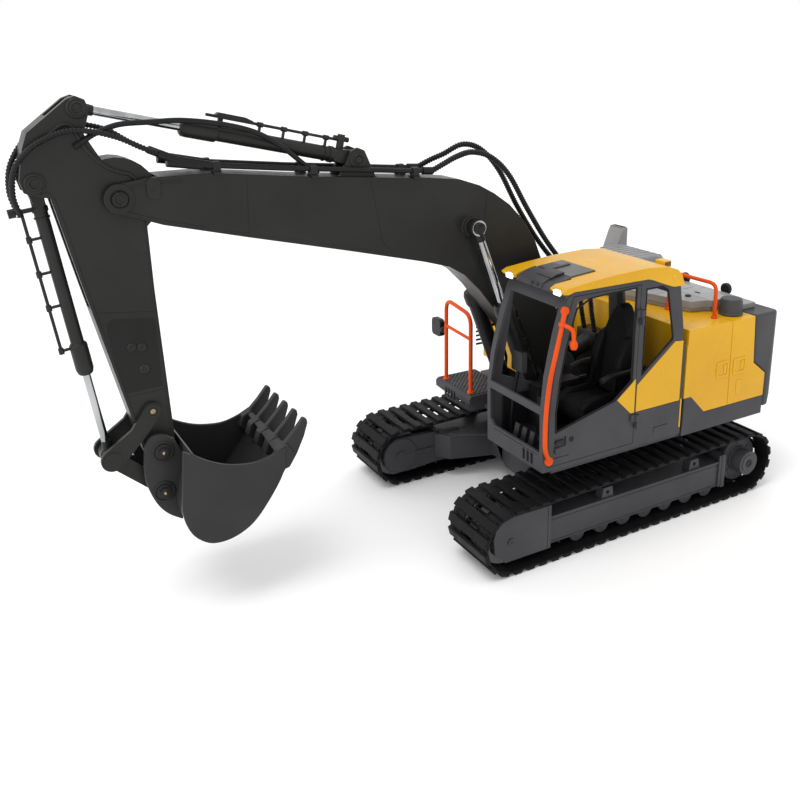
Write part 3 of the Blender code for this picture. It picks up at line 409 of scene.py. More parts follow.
lit = surface("lamp_glass", (0.88, 0.9, 0.93), (0.95, 0.96, 0.98), 0.12, 0.06, grain=900)
lit = lit.node_tree.nodes["Principled BSDF"]
lit.inputs["Emission Color"].default_value = (1, 0.99, 0.96, 1)
lit.inputs["Emission Strength"].default_value = 2.6
LOOK_OF_SLOT = {"track_rubber": "rubber", "frame_grey": "grey", "dark_plastic": "black",
    "light_grey_plastic": "hood_grey", "yellow_plastic": "yellow", "orange_rail": "orange",
    "black_plastic": "black", "hose_rubber": "hose", "boom_metal": "charcoal", "chrome_rod": "chrome",
    "pin_steel": "dark_steel", "gear_plastic": "nylon", "motor_can": "steel", "battery_wrap": "wrap_blue",
    "board_green": "board", "lamp_lens": "lamp_glass"}
SLOT_OF_LOOK = {"grey": "frame_grey", "yellow": "yellow_plastic", "charcoal": "boom_metal",
    "grey_bucket": "boom_metal", "panel_shade": "boom_metal", "hood_grey": "light_grey_plastic",
    "orange": "orange_rail", "hose": "hose_rubber", "dark_steel": "pin_steel"}


# ---- objects
def build_mesh(name, shapes):
    """One mesh from several closed shapes, in the frame's metres."""
    verts, faces = [], []
    for shape_verts, shape_faces in shapes:
        start = len(verts)
        verts += shape_verts
        faces += [[start + i for i in face] for face in shape_faces]
    mesh = bpy.data.meshes.new(name)
    mesh.from_pydata([((x + SLEW_X) * MM, y * MM, z * MM) for x, y, z in verts], [], faces)
    work = bmesh.new()
    work.from_mesh(mesh)
    bmesh.ops.recalc_face_normals(work, faces=work.faces)
    work.to_mesh(mesh)
    work.free()
    return mesh


def new_object(name, data):
    """An object in the scene that holds a mesh, a camera or a lamp."""
    obj = bpy.data.objects.new(name, data)
    bpy.context.scene.collection.objects.link(obj)
    return obj


def bake(obj):
    """Applies an object's modifiers to its mesh."""
    bpy.context.view_layer.update()
    graph = bpy.context.evaluated_depsgraph_get()
    shaped = bpy.data.meshes.new_from_object(obj.evaluated_get(graph))
    obj.modifiers.clear()
    obj.data = shaped


def carve(obj, add, cut):
    """Joins and cuts shapes, each with an exact Boolean, and keeps the result as the mesh."""
    helpers = []
    for kind, shapes in (("UNION", add), ("DIFFERENCE", cut)):
        for shape in shapes:
            helper = new_object("tool", build_mesh("tool", [shape]))
            step = obj.modifiers.new(kind, "BOOLEAN")
            step.operation = kind
            step.solver = "EXACT"
            step.object = helper
            helpers.append(helper)
    if helpers:
        bake(obj)
    for helper in helpers:
        bpy.data.objects.remove(helper, do_unlink=True)


def clean(obj):
    """Joins split corners, drops slivers and merges flat neighbours."""
    work = bmesh.new()
    work.from_mesh(obj.data)
    bmesh.ops.remove_doubles(work, verts=work.verts, dist=0.00001)
    bmesh.ops.dissolve_degenerate(work, edges=work.edges, dist=0.00001)
    bmesh.ops.dissolve_limit(work, angle_limit=radians(0.5), verts=work.verts, edges=work.edges)
    bmesh.ops.recalc_face_normals(work, faces=work.faces)
    work.to_mesh(obj.data)
    work.free()


def finish_mesh(obj, look, bevel, cut=(), steps=2, angle=32, soft=32):
    """Rounds a mesh's edges, cuts its grooves and gives it a material; soft is the shading's angle."""
    clean(obj)
    if bevel:
        edge = obj.modifiers.new("round_edges", "BEVEL")
        edge.width = bevel * MM
        edge.segments = steps
        edge.limit_method = "ANGLE"
        edge.angle_limit = radians(angle)
        edge.use_clamp_overlap = True
        bake(obj)
    carve(obj, (), cut)
    obj.data.shade_smooth()
    obj.data.set_sharp_from_angle(angle=radians(soft))
    even = obj.modifiers.new("even_normals", "WEIGHTED_NORMAL")
    even.keep_sharp = True
    obj.data.materials.clear()
    obj.data.materials.append(LOOKS[look])


def piece(name, body, look, shapes, bevel=0, slot=None, cut=(), steps=2, soft=32):
    """A new detail that moves with a body; its slot is worked out from its look unless slot gives one ("" for
    none), but is not applied.
    """
    obj = new_object(name, build_mesh(name, shapes))
    finish_mesh(obj, look, bevel, cut, steps, soft=soft)
    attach(obj, body)
    slot = SLOT_OF_LOOK.get(look) if slot is None else slot
    return obj


def settle(obj, node):
    """Makes an object stand for a CAD node, on its body."""
    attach(obj, BODY_OF[node])
    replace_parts(obj, node)


def refine(node, bevel=0.3, add=(), cut=(), look=None, steps=2, soft=32):
    """A finished copy of a CAD node, with shapes joined and cut, that stands for the node."""
    obj = new_object(node + "_finished", frame["nodes"][node].data.copy())
    clean(obj)
    carve(obj, add, ())
    finish_mesh(obj, look or LOOK_OF_SLOT[SLOT_OF[node]], bevel, cut, steps, soft=soft)
    settle(obj, node)


def moulding(name, node, look, base, add=(), cut=(), bevel=0.3, steps=2, grooves=()):
    """A piece built up from a base shape with exact joins and cuts, rounded, then grooved."""
    obj = new_object(name, build_mesh(name, [base]))
    carve(obj, add, cut)
    finish_mesh(obj, look, bevel, grooves, steps, 28)
    settle(obj, node)


def stand_in(name, node, look, shapes, bevel=0, cut=(), steps=2):
    """A new piece that stands for a CAD node."""
    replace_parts(piece(name, BODY_OF[node], look, shapes, bevel, SLOT_OF[node], cut, steps), node)


# ---- undercarriage
SHOE_COUNT, SHOE_T, CHAIN_T = 56, 2.4, 2.2
TRACK_Y, SHOE_HALF = 61.2, 18.8


def belt_run(inset):
    """Length of the belt's loop and a function from a distance along it to (point, normal)."""
    (x1, z1), (x2, z2) = IDLER, SPROCKET
    r1, r2 = z1 - inset, z2 - inset
    dx, dz = x2 - x1, z2 - z1
    lean = asin((r1 - r2) / hypot(dx, dz))
    along = atan2(dz, dx)
    top, bottom = along - pi / 2 - lean, along + pi / 2 + lean

    def rim(centre, radius, angle):
        normal = Vector((cos(angle), sin(angle)))
        return Vector(centre) + normal * radius, normal

    a, b = rim(IDLER, r1, top)[0], rim(SPROCKET, r2, top)[0]
    c, d = rim(SPROCKET, r2, bottom)[0], rim(IDLER, r1, bottom)[0]
    straight = (b - a).length
    rear = r2 * ((bottom - top) % tau)
    front = r1 * ((top - bottom) % tau)
    total = 2 * straight + rear + front

    def find(distance):
        s = distance % total
        if s < straight:
            return a.lerp(b, s / straight), rim(IDLER, r1, top)[1]
        s -= straight
        if s < rear:
            return rim(SPROCKET, r2, top + s / r2)
        s -= rear
        if s < straight:
            return c.lerp(d, s / straight), rim(IDLER, r1, bottom)[1]
        return rim(IDLER, r1, bottom + (s - straight) / r1)
    return total, find


def build_belt(name, side):
    """Shoes with a raised bar, side plates with a slot between them, and link rails inside."""
    total, find = belt_run(SHOE_T)
    pitch = total / SHOE_COUNT
    shapes = []

    def block(start, end, y, n, narrow=0):
        """A block in the belt's own space: along it, across it and out of it."""
        verts = []
        for height, taper in ((n[0], 0), (n[1], narrow)):
            for s in (start + taper, end - taper):
                point, normal = find(s)
                spot = point + normal * height
                for y_edge, inward in ((y[0], 1), (y[1], -1)):
                    verts.append((spot.x, side * TRACK_Y + y_edge + inward * (taper * 0.6), spot.y))
        faces = [[0, 1, 3, 2], [4, 6, 7, 5], [0, 4, 5, 1], [2, 3, 7, 6], [0, 2, 6, 4], [1, 5, 7, 3]]
        shapes.append((verts, faces))

    for i in range(SHOE_COUNT):
        s = i * pitch
        block(s + 0.9, s + 6.3, (-SHOE_HALF, SHOE_HALF), (0.5, SHOE_T), 0.55)
        for low, high in ((-SHOE_HALF + 0.5, -7.4), (7.4, SHOE_HALF - 0.5)):
            inset = 0.04 * (i % 2)
            block(s - 0.3, s + pitch + 0.1, (low + inset, high - inset), (inset, 1 - inset))
            block(s + 0.5, s + pitch - 0.7, (low + 5.5, high - 2) if low > 0 else (low + 2, high - 5.5),
                (0.9, 1.45), 0.3)
        block(s + 1.3, s + 5.9, (-7.8, 7.8), (-0.1, 0.9))
        for low in (-6.6, 4.5):
            outer = 0.35 if i % 2 else 0
            block(s - 0.4, s + pitch - 0.9, (low - outer + 0.2, low + 2.1 - outer),
                (-CHAIN_T + 0.05, 0.1))
        point, normal = find(s + 7.3)
        pin = point - normal
        ends = [(pin.x, side * TRACK_Y + reach, pin.y) for reach in (-6.9, 6.9)]
        shapes.append(tube(ends, 0.75, 8))
    stand_in(f"belt_{name}", f"track_belt_{name}", "rubber", shapes, 0.28)


def build_track_frame(name, side):
    """Frame with roller caps, ledges and the covers at its front."""
    grooves = [box((-69, 61), ys(side, 73.7, 75), (21.6, 22)), box((63.4, 63.8), ys(side, 76.2, 77),
        (7.5, 32.2))]
    refine(f"track_frame_{name}", 0.4, cut=grooves, soft=CRISP)
    frame_body = "undercarriage"
    rollers = []
    for x in (40.4, 23.2, 6.8, -9.4, -25.4, -42, -58.6):
        for start, way in ((73 * side, side), (49.5 * side, -side)):
            rollers.append(lathe("Y", (x, 8.4), [(5.4, start - way * 0.6), (5.4, start + way * 0.15),
                (4.9, start + way * 0.5), (2.6, start + way * 0.5), (2.3, start + way * 0.95),
                (1, start + way * 0.95)], 20))
    piece(f"roller_caps_{name}", frame_body, "grey", rollers, 0.15)
    washer = turned(IDLER, side, [(2, 76.2), (2, 76.7), (1.6, 76.8)], 20)
    piece(f"cover_washer_{name}", frame_body, "black", [washer], 0.1)
    screw = turned(IDLER, side, [(1, 76.5), (1, 77), (0.7, 77.2), (0.4, 77.2), (0.3, 76.9)], 16)
    piece(f"cover_screw_{name}", frame_body, "steel", [screw])
    ledge = [box(x, ys(side, 73.9, out), z) for x, out, z in (((-68.6, 60.2), 74.7, (23.2, 24.4)),
        ((-68.6, 60.2), 74.5, (8, 9)), ((-69.4, -66.9), 75.2, (7.6, 28.2)))]
    piece(f"frame_ledges_{name}", frame_body, "grey", ledge, 0.2)
    inner = [turned(IDLER, side, [(11.4, 46.1), (11.4, 45.6), (10.6, 45.4), (3, 45.4), (3, 44.8),
        (1.2, 44.8)], 32), box((58, 86), ys(side, 45.3, 46.2), (17.4, 19.2))]
    piece(f"inner_cover_{name}", frame_body, "grey", inner, 0.2)


def build_wheels(name, side):
    """Sprocket with rings and bolts, idler and gearbox of one side."""
    refine(f"sprocket_{name}", 0.3)
    hub = [turned(SPROCKET, side, [(14, 69.6), (14, 70.5), (13.4, 70.8), (12.6, 70.8), (12.2, 70.2),
        (8.4, 70.1), (8, 71.4), (7.4, 71.6)], 36)]
    for i in range(6):
        spot = (SPROCKET[0] + 10.3 * cos(tau * i / 6 + 0.4), SPROCKET[1] + 10.3 * sin(tau * i / 6 + 0.4))
        hub += bolt(spot, side * 70.1, side, 1, 0.7)
    hub.append(turned(SPROCKET, side, [(5.6, 79.2), (5.6, 79.75), (5.1, 79.9), (2.9, 79.9), (2.6, 79.5)],
        28))
    piece(f"sprocket_rings_{name}", f"sprocket_{name}", "grey", hub, 0.12)
    centre = [turned(SPROCKET, side, [(2.3, 79.2), (2.3, 79.93), (1.9, 79.93), (1.5, 79.6)], 20)]
    piece(f"sprocket_centre_{name}", f"sprocket_{name}", "black", centre)
    refine(f"idler_{name}", 0.3, look="hood_grey")
    refine(f"drive_gearbox_{name}", 0.5)


def build_undercarriage():
    """Both track units, the centre frame and the slewing gear."""
    for name, side in NAMED_SIDES:
        build_belt(name, side)
        build_track_frame(name, side)
        build_wheels(name, side)
    refine("centre_frame", 0.7, steps=3, soft=CRISP)
    refine("slew_ring", 0)
    refine("slew_pinion", 0)
    ribs = []
    for sx in SIDES:
        for sy in SIDES:
            ribs.append(prism("Z", [(sx * 28, sy * 22), (sx * 56, sy * 38.5), (sx * 57, sy * 37.3),
                (sx * 29, sy * 20.8)], 27.8, 29.2))
            ribs.append(prism("Z", [(sx * 46, sy * 45), (sx * 60, sy * 45), (sx * 60, sy * 42.8),
                (sx * 46, sy * 42.8)], 27.8, 29.6))
    piece("centre_frame_ribs", "undercarriage", "grey", ribs, 0.3)
    ring = [lathe("Z", (0, 0), [(33, 43.6), (33, 44.2), (31.6, 44.25), (31.4, 43.7)], 48)]
    for i in range(16):
        angle = tau * (i + 0.5) / 16
        spot = (31 * cos(angle), 31 * sin(angle))
        ring.append(lathe("Z", spot, [(1.2, 43.9), (1.2, 44.1), (0.9, 44.2)], 6))
    piece("slew_ring_bolts", "undercarriage", "grey", ring)


# ---- cab
DOOR_WINDOW = [(60.6, 73.2), (60.9, 84), (58.8, 103), (55.8, 118), (52, 131.6), (49.4, 139.6),
    (8.6, 139.6), (8.6, 92), (20.5, 82.8)]


def seal(outline, y, radius):
    """A closed round seal along an outline at one y."""
    points = [Vector(at(p, y)) for p in outline]
    shapes = []
    for here, there in zip(points, points[1:] + points[:1]):
        shapes.append(tube([here, there], radius, 8))
        shapes.append(lathe("Y", (here.x, here.z), [(0, y - radius), (radius * 0.7, y - radius * 0.7),
            (radius, y), (radius * 0.7, y + radius * 0.7), (0, y + radius)], 8))
    return shapes


def build_cab():
    """Cab shell and door with their seams and seals, and near-black boxes behind the seat for a dark inner wall
    with painted shade in the gap behind it.
    """
    y = CAB_SIDE
    depth = (y - 0.4, y + 1)
    seams = [box((-9.2, -20), depth, (60.5, 61)), box((-9.4, -9), depth, (57, 61)),
        box((66, 70), (30, 72), (61.2, 61.6))]
    refine("cab_shell", 0.45, cut=seams, soft=CRISP)
    recess = prism("Y", rounded((53, 60.9), (64.8, 70.4), 0.8), y - 0.9, y + 3)
    hinge_line = box((50.6, 62.2), depth, (58.9, 59.4))
    arch = prism("Y", [(48.2, 141.6), (48.2, 142.7), (40.4, 143.7), (27, 144.5), (13.4, 144.9),
        (8.6, 144.9), (8.6, 141.6)], y - 5, y + 3)
    refine("cab_door", 0.35, cut=[recess, hinge_line, arch], soft=CRISP)
    handle = [prism("Y", rounded((54, 59.8), (66.4, 68.6), 0.9), y - 1, y - 0.1)]
    handle.append(lathe("Y", (49.4, 67.7), [(1.5, y - 0.3), (1.5, y + 0.3), (1.1, y + 0.4),
        (0.6, y + 0.4), (0.5, y + 0.1)], 24))
    piece("door_handle", "cab_door", "black", handle, 0.15)
    inside = [(20 + (a - 20) * 0.985, 100 + (b - 100) * 0.985) for a, b in DOOR_WINDOW]
    inside[6:7] = [(40, 143.4), (27, 144.2), (13.6, 144.5), (9, 144.5)]
    piece("door_window_seal", "cab_door", "rubber", seal(inside, y - 0.2, 0.5))
    corner = [(19, 83.2), (8.9, 73.4), (6.3, 73.2), (6.3, 93), (8.1, 91.5)]
    piece("door_corner", "cab_door", "yellow", [prism("Y", corner, y - 0.1, y + 0.25)], 0.1)
    refine("cab_corner_panel", 0.18)
    strip = box((-29.6, -28.7), (y - 0.6, y + 0.25), (56.5, 74))
    piece("cab_rear_strip", "upper", "yellow", [strip], 0.1)
    rear_window = [(2, 94.4), (2, 142.7), (-9.3, 142.7), (-13.6, 140.1), (-19.6, 113.1), (-19.4, 111.7)]
    piece("rear_window_seal", "upper", "rubber", seal(rear_window, y - 0.3, 0.55))
    # near-black boxes on the floor and walls behind the seat: a dark inner wall, with painted shade for the gap
    # behind the seat
    wall_and_shade_boxes = [box((-27.2, 62), (27.2, 73.4), (54.6, 55.3)), box((-27.4, -26.6), (27.2, 73.4), (55, 83.6)),
        box((-27.2, 60), (26.6, 27.3), (55, 77.6)), box((-27, -14), (28, 73), (55, 82))]
    piece("cab_wall_and_shade", "upper", "seat", wall_and_shade_boxes, 0.3)


def build_controls():
    """Levers, pedals and a screen in the cab, and the console."""
    levers = []
    for lx, ly, top in ((24, 31, 92), (44, 46, 94), (44, 50, 94)):
        levers.append(lathe("Z", (lx, ly), [(0, top - 0.2), (1.7, top - 1), (2.1, top - 3),
            (1.5, top - 6), (1, top - 8)], 14))
    levers.append(prism("Y", rounded((56, 59.5), (96, 108), 0.8), 34, 44))
    levers.append(tube([(57.5, 38, 97), (57, 33, 80), (56, 30, 57)], 1.1, 10))
    for py in (42, 49, 56):
        levers.append(prism("Y", [(60, 57), (64, 58), (61.5, 68), (59.5, 67)], py, py + 4))
    piece("cab_controls", "upper", "black", levers, 0.2)
    refine("console", 0.5, look="black")


def build_roof():
    """Yellow roof, hatch with a rib and a strip of painted shade, visor panel with its catch, lamps and the small
    box at the rear.
    """
    refine("cab_roof", 1.1, steps=4)
    refine("roof_hatch", 0.3, look="hatch")
    # shade is a strip of darker grey across the front of the hatch: painted shade; rib is a raised rib beside it
    shade = prism("Y", [(35, 153.35), (44.9, 152.55), (44.9, 153), (35, 153.8)], 36.6, 48)
    rib = prism("Y", [(31, 153.75), (44.6, 152.7), (44.6, 153.5), (31, 154.5)], 44.6, 47.2)
    piece("hatch_rib_and_shade", "upper", "grey", [shade, rib], 0.15)
    catch = [prism("Y", [(45, 152.8), (51, 151.6), (56.6, 149.3), (57.3, 147), (58.4, 147), (57.4, 149.7),
        (51.4, 152.2), (45.4, 153.3)], 47, 57.6)]
    catch.append(prism("Y", [(44, 153), (49, 152.6), (52.4, 151.4), (52.9, 152.1), (49.4, 153.6),
        (44.2, 154.1)], 46, 58.8))
    piece("visor_catch", "upper", "grey", catch, 0.25)
    studs = [lathe("X", (py, 148.4), [(0.8, 57.2), (0.8, 58.5), (0.5, 58.7)], 12) for py in (49.6, 54.2)]
    piece("visor_studs", "upper", "black", studs)
    for name, ly in (("right", 29), ("left", 71)):
        glass = prism("X", rounded((ly - 2.7, ly + 2.7), (146.4, 149.2), 0.9), 55.2, 58.6)
        ribs = [prism("X", rounded((ly - 2.4 + 1.1 * i, ly - 1.8 + 1.1 * i), (146.7, 148.9), 0.25), 58.4,
            58.9) for i in range(5)]
        stand_in(f"lamp_glass_{name}", f"work_lamp_{name}", "lamp_glass", [glass] + ribs, 0.3)
        rim = prism("X", rounded((ly - 3.3, ly + 3.3), (145.8, 149.55), 1), 55.4, 57.8)
        hole = prism("X", rounded((ly - 2.8, ly + 2.8), (146.3, 149.3), 0.9), 50, 70)
        piece(f"lamp_rim_{name}", "upper", "grey", [rim], 0.15, "", cut=[hole])
    flap = [(4, 148.7), (-1, 147.5), (-7, 145.1), (-14.7, 142.3), (-17.2, 141.6), (-23.4, 141.4),
        (-22.4, 146), (-18.6, 149.6), (-8, 151.4), (3.6, 151.4)]
    flaps = [prism("Y", flap, CAB_SIDE + 0.1, CAB_SIDE + 0.95), prism("Y", flap, 22.55, 23.8)]
    piece("roof_flaps", "upper", "yellow", flaps, 0.3)
    piece("roof_rear_box", "upper", "yellow", [box((-21.6, -16), (62, 69), (150.5, 154.2))], 0.4)
    piece("roof_rear_plug", "upper", "brown", [box((-22, -21.2), (62.8, 68.2), (151.2, 153.8)),
        box((-20.8, -16.8), (68.8, 69.4), (151.4, 153.6))], 0.15)
    knob = lathe("Y", (-16.6, 147.4), [(1.5, CAB_SIDE + 0.6), (1.5, CAB_SIDE + 1.2),
        (1.1, CAB_SIDE + 1.4)], 20)
    piece("roof_screw_cover", "upper", "yellow", [knob], 0.1)


SEAT_Y = 50
SEAT_BOLSTER = [(31, 68), (31.4, 76), (24, 80), (8, 80), (4.4, 76), (4, 68)]
BACK_BOLSTER = [(8, 80), (6, 98), (1.4, 110), (-4, 112), (-6, 80)]


def build_seat():
    """A moulded seat with a domed back, side bolsters and arm rests."""
    cushion = prism("Y", [(32, 71), (30.6, 75.8), (26, 77.4), (4, 76.4), (0, 74), (-2, 66), (30, 66)],
        39.5, 60.5)
    dome = [(39, 76), (38.4, 100), (39, 110), (41.4, 117), (44, 122.6), (46.6, 126.6), (50, 128)]
    dome += [(2 * SEAT_Y - y, z) for y, z in reversed(dome[:-1])]
    verts, faces = prism("X", dome, -8.6, 2.8)
    back = ([(x - (z - 76) * 0.11 * (1 if x > 0 else 0.25), y, z) for x, y, z in verts], faces)
    bolsters = []
    for low, high in ((37.6, 42.6), (57.4, 62.4)):
        for outline in (SEAT_BOLSTER, BACK_BOLSTER):
            bolsters.append(prism("Y", outline, low, high))
    stem = [box((0.5, 25.5), (42.4, 57.6), (54.4, 67))]
    stand_in("seat_moulded", "seat", "seat", [cushion, back] + bolsters + stem, 1.6, (), 3)
    arms = [bent_bar([(-4, py, 92), (12, py, 92), (20, py, 90)], 1.7, 6) for py in (36.4, 63.6)]
    piece("seat_arm_rests", "upper", "black", arms)


def build_cab_rail():
    """The curved hand rail beside the windscreen, with its collars and knob."""
    rail = smooth_path([(65.2, 77.3, 60), (68.6, 78.6, 68), (68.9, 78.8, 86), (67, 78.8, 104),
        (63.6, 78.8, 119), (60.6, 78.6, 131), (58, 77.3, 138.5)], 8)
    rail = [Vector((64.6, 76.2, 58.6))] + rail + [Vector((57.2, 76.2, 139.6))]
    collars = [tube([rail[-9], rail[-7]], 1.9, 14)]
    collars.append(lathe("Y", (64.6, 58.8), [(2.4, 75.8), (2.4, 77.4), (1.9, 77.9)], 18))
    collars.append(lathe("Y", (57.2, 139.4), [(2.2, 75.8), (2.2, 77.4), (1.8, 77.9)], 18))
    branch = bent_bar([tuple(rail[-8]), (57, 83.5, 131.6), (56.6, 83.8, 124.4)], 1.1, 3)
    ball = lathe("Z", (56.6, 83.8), [(0, 120.6), (1.5, 121.2), (2.1, 122.8), (1.9, 124.4), (1.1, 125.8)],
        16)
    stand_in("cab_rail_smooth", "cab_rail", "orange", [tube(rail, 1.25, 14)] + collars + [branch, ball])


def build_body_rails():
    """The rails on the hood, on the step box and on the right shoulder."""
    low = HOOD_Z + 0.1
    hood = bent_bar([(-61.7, 66, low), (-61.6, 65.9, 134.6), (-52.1, 38.6, 137.4), (-51.6, 38.4, low)],
        1.15, 4.5)
    feet = []
    for spot in ((-61.7, 66), (-51.6, 38.4)):
        feet.append(lathe("Z", spot, [(1.9, low - 0.1), (1.9, low + 0.8), (1.4, low + 1.3)], 16))
    stand_in("hood_rail_smooth", "hood_rail", "orange", [hood] + feet)

    x, out, near, base = 47, -57, -27.5, 58.4
    loop = bent_bar([(x, out, base), (x, out + 0.6, 112.5), (x, near, 109), (x, near, base)], 1.3, 7)
    cross = tube([(x, out + 0.5, 95), (x, near, 93.6)], 1.05, 12)
    feet = []
    for y in (out, near):
        feet.append(lathe("Z", (x, y), [(2.2, base - 0.3), (2.2, base + 0.9), (1.6, base + 1.5)], 16))
    stand_in("step_rail_smooth", "step_rail", "orange", [loop, cross] + feet)
    shoulder = [bent_bar([(2.4, -71.6, 86), (2.4, -71.6, 110), (-20, -71.6, 110), (-20, -71.6, 86.5)],
        1.15, 5)]
    piece("shoulder_rail", "upper", "orange", shoulder)


def build_mirror():
    """The mirror on its arm."""
    back = prism("X", rounded((-73.5, -62.5), (85.5, 97), 2.6), 44.6, 48.2)
    arm = tube([(46.6, -63, 91), (46.8, -57, 91)], 1.2, 12)
    collar = lathe("Y", (46.7, 91), [(2, -61.8), (2, -60.4), (1.5, -60)], 16)
    stand_in("mirror_shell", "mirror", "black", [back, arm, collar], 0.6, (), 3)
    glass = prism("X", rounded((-72.5, -63.5), (86.5, 96), 2), 44.2, 44.8)
    piece("mirror_glass", "upper", "chrome", [glass], 0.1)


def perforated(x, y, top, count, hole):
    """A tread plate's square cells, each with a round hole sunk into it."""
    dx, dy = (x[1] - x[0]) / count[0], (y[1] - y[0]) / count[1]
    cells = []
    for i in range(count[0]):
        for k in range(count[1]):
            cx, cy = x[0] + (i + 0.5) * dx, y[0] + (k + 0.5) * dy
            edge = []
            for step in range(8):
                angle = tau * (step + 0.5) / 8
                reach = max(abs(cos(angle)), abs(sin(angle)))
                edge.append((cx + dx / 2 * cos(angle) / reach, cy + dy / 2 * sin(angle) / reach, top))
            rings = [edge]
            for radius, z in ((hole, top), (hole * 0.92, top - 0.9)):
                rings.append([(a, b, z) for a, b in circle((cx, cy), radius, 8, tau / 16)])
            cells.append(skin(rings, 0, 1))
    return cells


def build_step_box():
    """The box beside the boom, with its tread plate and slots."""
    refine("step_box", 0.5, soft=CRISP)
    x, y, top = (22, 49), (-62.5, -24), 58.75
    tread = perforated(x, y, top, (9, 12), 0.95)
    corners = [(x[0], y[0]), (x[1], y[0]), (x[1], y[1]), (x[0], y[1])]
    rim = [(*corner, z) for z in (top, 57.8) for corner in corners]
    border = (rim, [[0, 1, 5, 4], [1, 2, 6, 5], [2, 3, 7, 6], [3, 0, 4, 7], [4, 5, 6, 7]])
    piece("step_tread", "upper", "grey", tread + [border])
    slots = [prism("X", rounded((-52 + 3.4 * i, -50.4 + 3.4 * i), (50, 56.2), 0.7), 50.6, 51.4)
        for i in range(4)]
    piece("step_slots", "upper", "black", slots)


# ---- engine body
def latch(x, z, side):
    """A raised rectangular frame with a sunk pull in it, on one side face."""
    outline = rounded(x, z, 1)
    inner = rounded((x[0] + 1.4, x[1] - 1.4), (z[0] + 1.4, z[1] - 1.4), 0.6)
    face = side * CAB_SIDE
    steps = ((outline, -0.2), (outline, 0.55), (inner, 0.55), (inner, 0.12))
    frame_shape = skin([[at(p, face + side * out) for p in ring] for ring, out in steps], 0, 1)
    pull = slab(rounded((x[0] + 2, x[0] + 4.2), (z[0] + 2, z[1] - 2), 0.5), side, CAB_SIDE + 0.1,
        CAB_SIDE + 0.5)
    return [frame_shape, pull]


def build_engine_body():
    """Yellow cover with latches and louvres, counterweight and deck."""
    seams = []
    for side in SIDES:
        seams.append(slab([(-66.5, 116), (-67, 116), (-68.1, 62), (-67.6, 62)], side, CAB_SIDE - 0.5,
            CAB_SIDE + 1))
        seams.append(box((-67, -66.5), ys(side, 60, 80), (HOOD_Z - 0.4, HOOD_Z + 1)))
    refine("engine_cover", 1.1, cut=seams, steps=4)
    for name, side in NAMED_SIDES:
        plates = latch((-67 + 0.9, -56.2), (80.6, 90.6), side) + latch((-80.6, -70), (80.6, 90.4), side)
        plates.append(slab(rounded((-78.2, -74), (67.4, 76.2), 0.9), side, CAB_SIDE - 0.2,
            CAB_SIDE + 0.35))
        piece(f"cover_latches_{name}", "upper", "yellow", plates, 0.15)
    louvres = []
    for i in range(7):
        z = 88 - 3 * i
        louvres.append(prism("Y", [(-6, z), (12, z), (12, z + 1.5), (-6, z + 1.5)], -76.5, -75.8))
    piece("cover_louvres", "upper", "black", louvres, 0.3)
    refine("counterweight", 2.2, steps=5)
    notch = [prism("Y", [(-31.8, 73.4), (-37.1, 73.4), (-48.3, 62.1), (-48.3, 56), (-31.8, 56)],
        CAB_SIDE - 0.5, CAB_SIDE + 0.1)]
    piece("skirt_notch", "upper", "grey", notch, 0.15)
    refine("deck", 0.35, soft=CRISP)


def build_hood():
    """Hood slabs in two heights with seams, their knobs, and the lifting discs."""
    low, high = HOOD_Z + 0.4, 121
    front = [(-34.6, -23.8), (-57.9, 51.3), (-67.1, 53.3), (-70.1, 55.8), (-84.8, 55.8), (-84.8, -23.8)]
    rear = [(-80, -23.8), (-80, 51.9), (-88.5, 63.3), (-99.4, 63.3), (-100.8, 40), (-100.8, -23.8)]
    skirt = [(-60 + (x + 60) * 0.965, 15 + (y - 15) * 0.97) for x, y in front]
    seams = [box((-69.4, -68.9), (-30, 70), (120.5, 124)), box((-36, -86), (26.6, 27.1), (120.5, 124)),
        box((-79, -102), (22, 22.5), (117.1, 119))]
    moulding("hood_slabs", "hood_panel", "hood_grey", prism("Z", front, low + 2.4, high),
        [prism("Z", skirt, low, low + 2.6), prism("Z", rear, low + 0.1, 117.6)], (), 0.8, 3, seams)
    knob = [lathe("Z", (-65.2, 41), [(1.9, 120.6), (1.9, 121.4), (1.4, 122), (0.4, 122.1)], 20),
        lathe("Z", (-46.5, 8), [(1, 120.6), (1, 121.3), (0.7, 121.5)], 16),
        box((-63, -61.4), (30, 34), (120.8, 121.3)), box((-77, -75.4), (36, 40), (120.8, 121.3))]
    piece("hood_knobs", "upper", "black", knob, 0.15)
    domes = []
    for dx, dy in ((-101.5, 2.5), (-103.3, 36.3)):
        domes.append(lathe("X", (dy, 119.2), [(0.5, dx - 1.6), (3.3, dx - 1.5), (3.8, dx - 1),
            (3.8, dx + 1), (3.3, dx + 1.5), (0.5, dx + 1.6)], 24))
    piece("lifting_discs", "upper", "black", domes, 0.2)


def build_air_box():
    """Ribbed air box, exhaust and fuel cap."""
    refine("air_box", 2.2, steps=5)
    ribs = [prism("Y", [(-85, 124), (-85, 131.2), (-80.8, 137.1), (-72.6, 139.2), (-56.3, 139.2),
        (-52, 134.2), (-52, 124)], -31.4 + 5 * i, -29.4 + 5 * i) for i in range(7)]
    piece("air_box_ribs", "upper", "hood_grey", ribs, 0.6, steps=3)
    refine("exhaust_stack", 1.6, steps=4)
    base = prism("Z", rounded((-86.2, -67.8), (-53.4, -34.6), 2), HOOD_Z + 0.2, HOOD_Z + 2.2)
    piece("exhaust_base", "upper", "hood_grey", [base], 0.5)
    cap = [lathe("Z", (-76.5, 64.8), [(7.2, HOOD_Z + 0.4), (7.2, HOOD_Z + 1.2), (6.8, HOOD_Z + 1.4),
        (6.6, 122.6), (5.9, 123.9), (2, 124.1)], 16)]
    stand_in("fuel_cap_ribbed", "fuel_cap", "grey", cap, 0.35, (), 3)


def build_inside():
    """The electric parts inside the body."""
    for node in ("battery", "circuit_board", "power_switch"):
        refine(node, 0.3)
    for node in ("boom_motor", "slew_motor"):
        refine(node, 0.3, look="dark_steel")


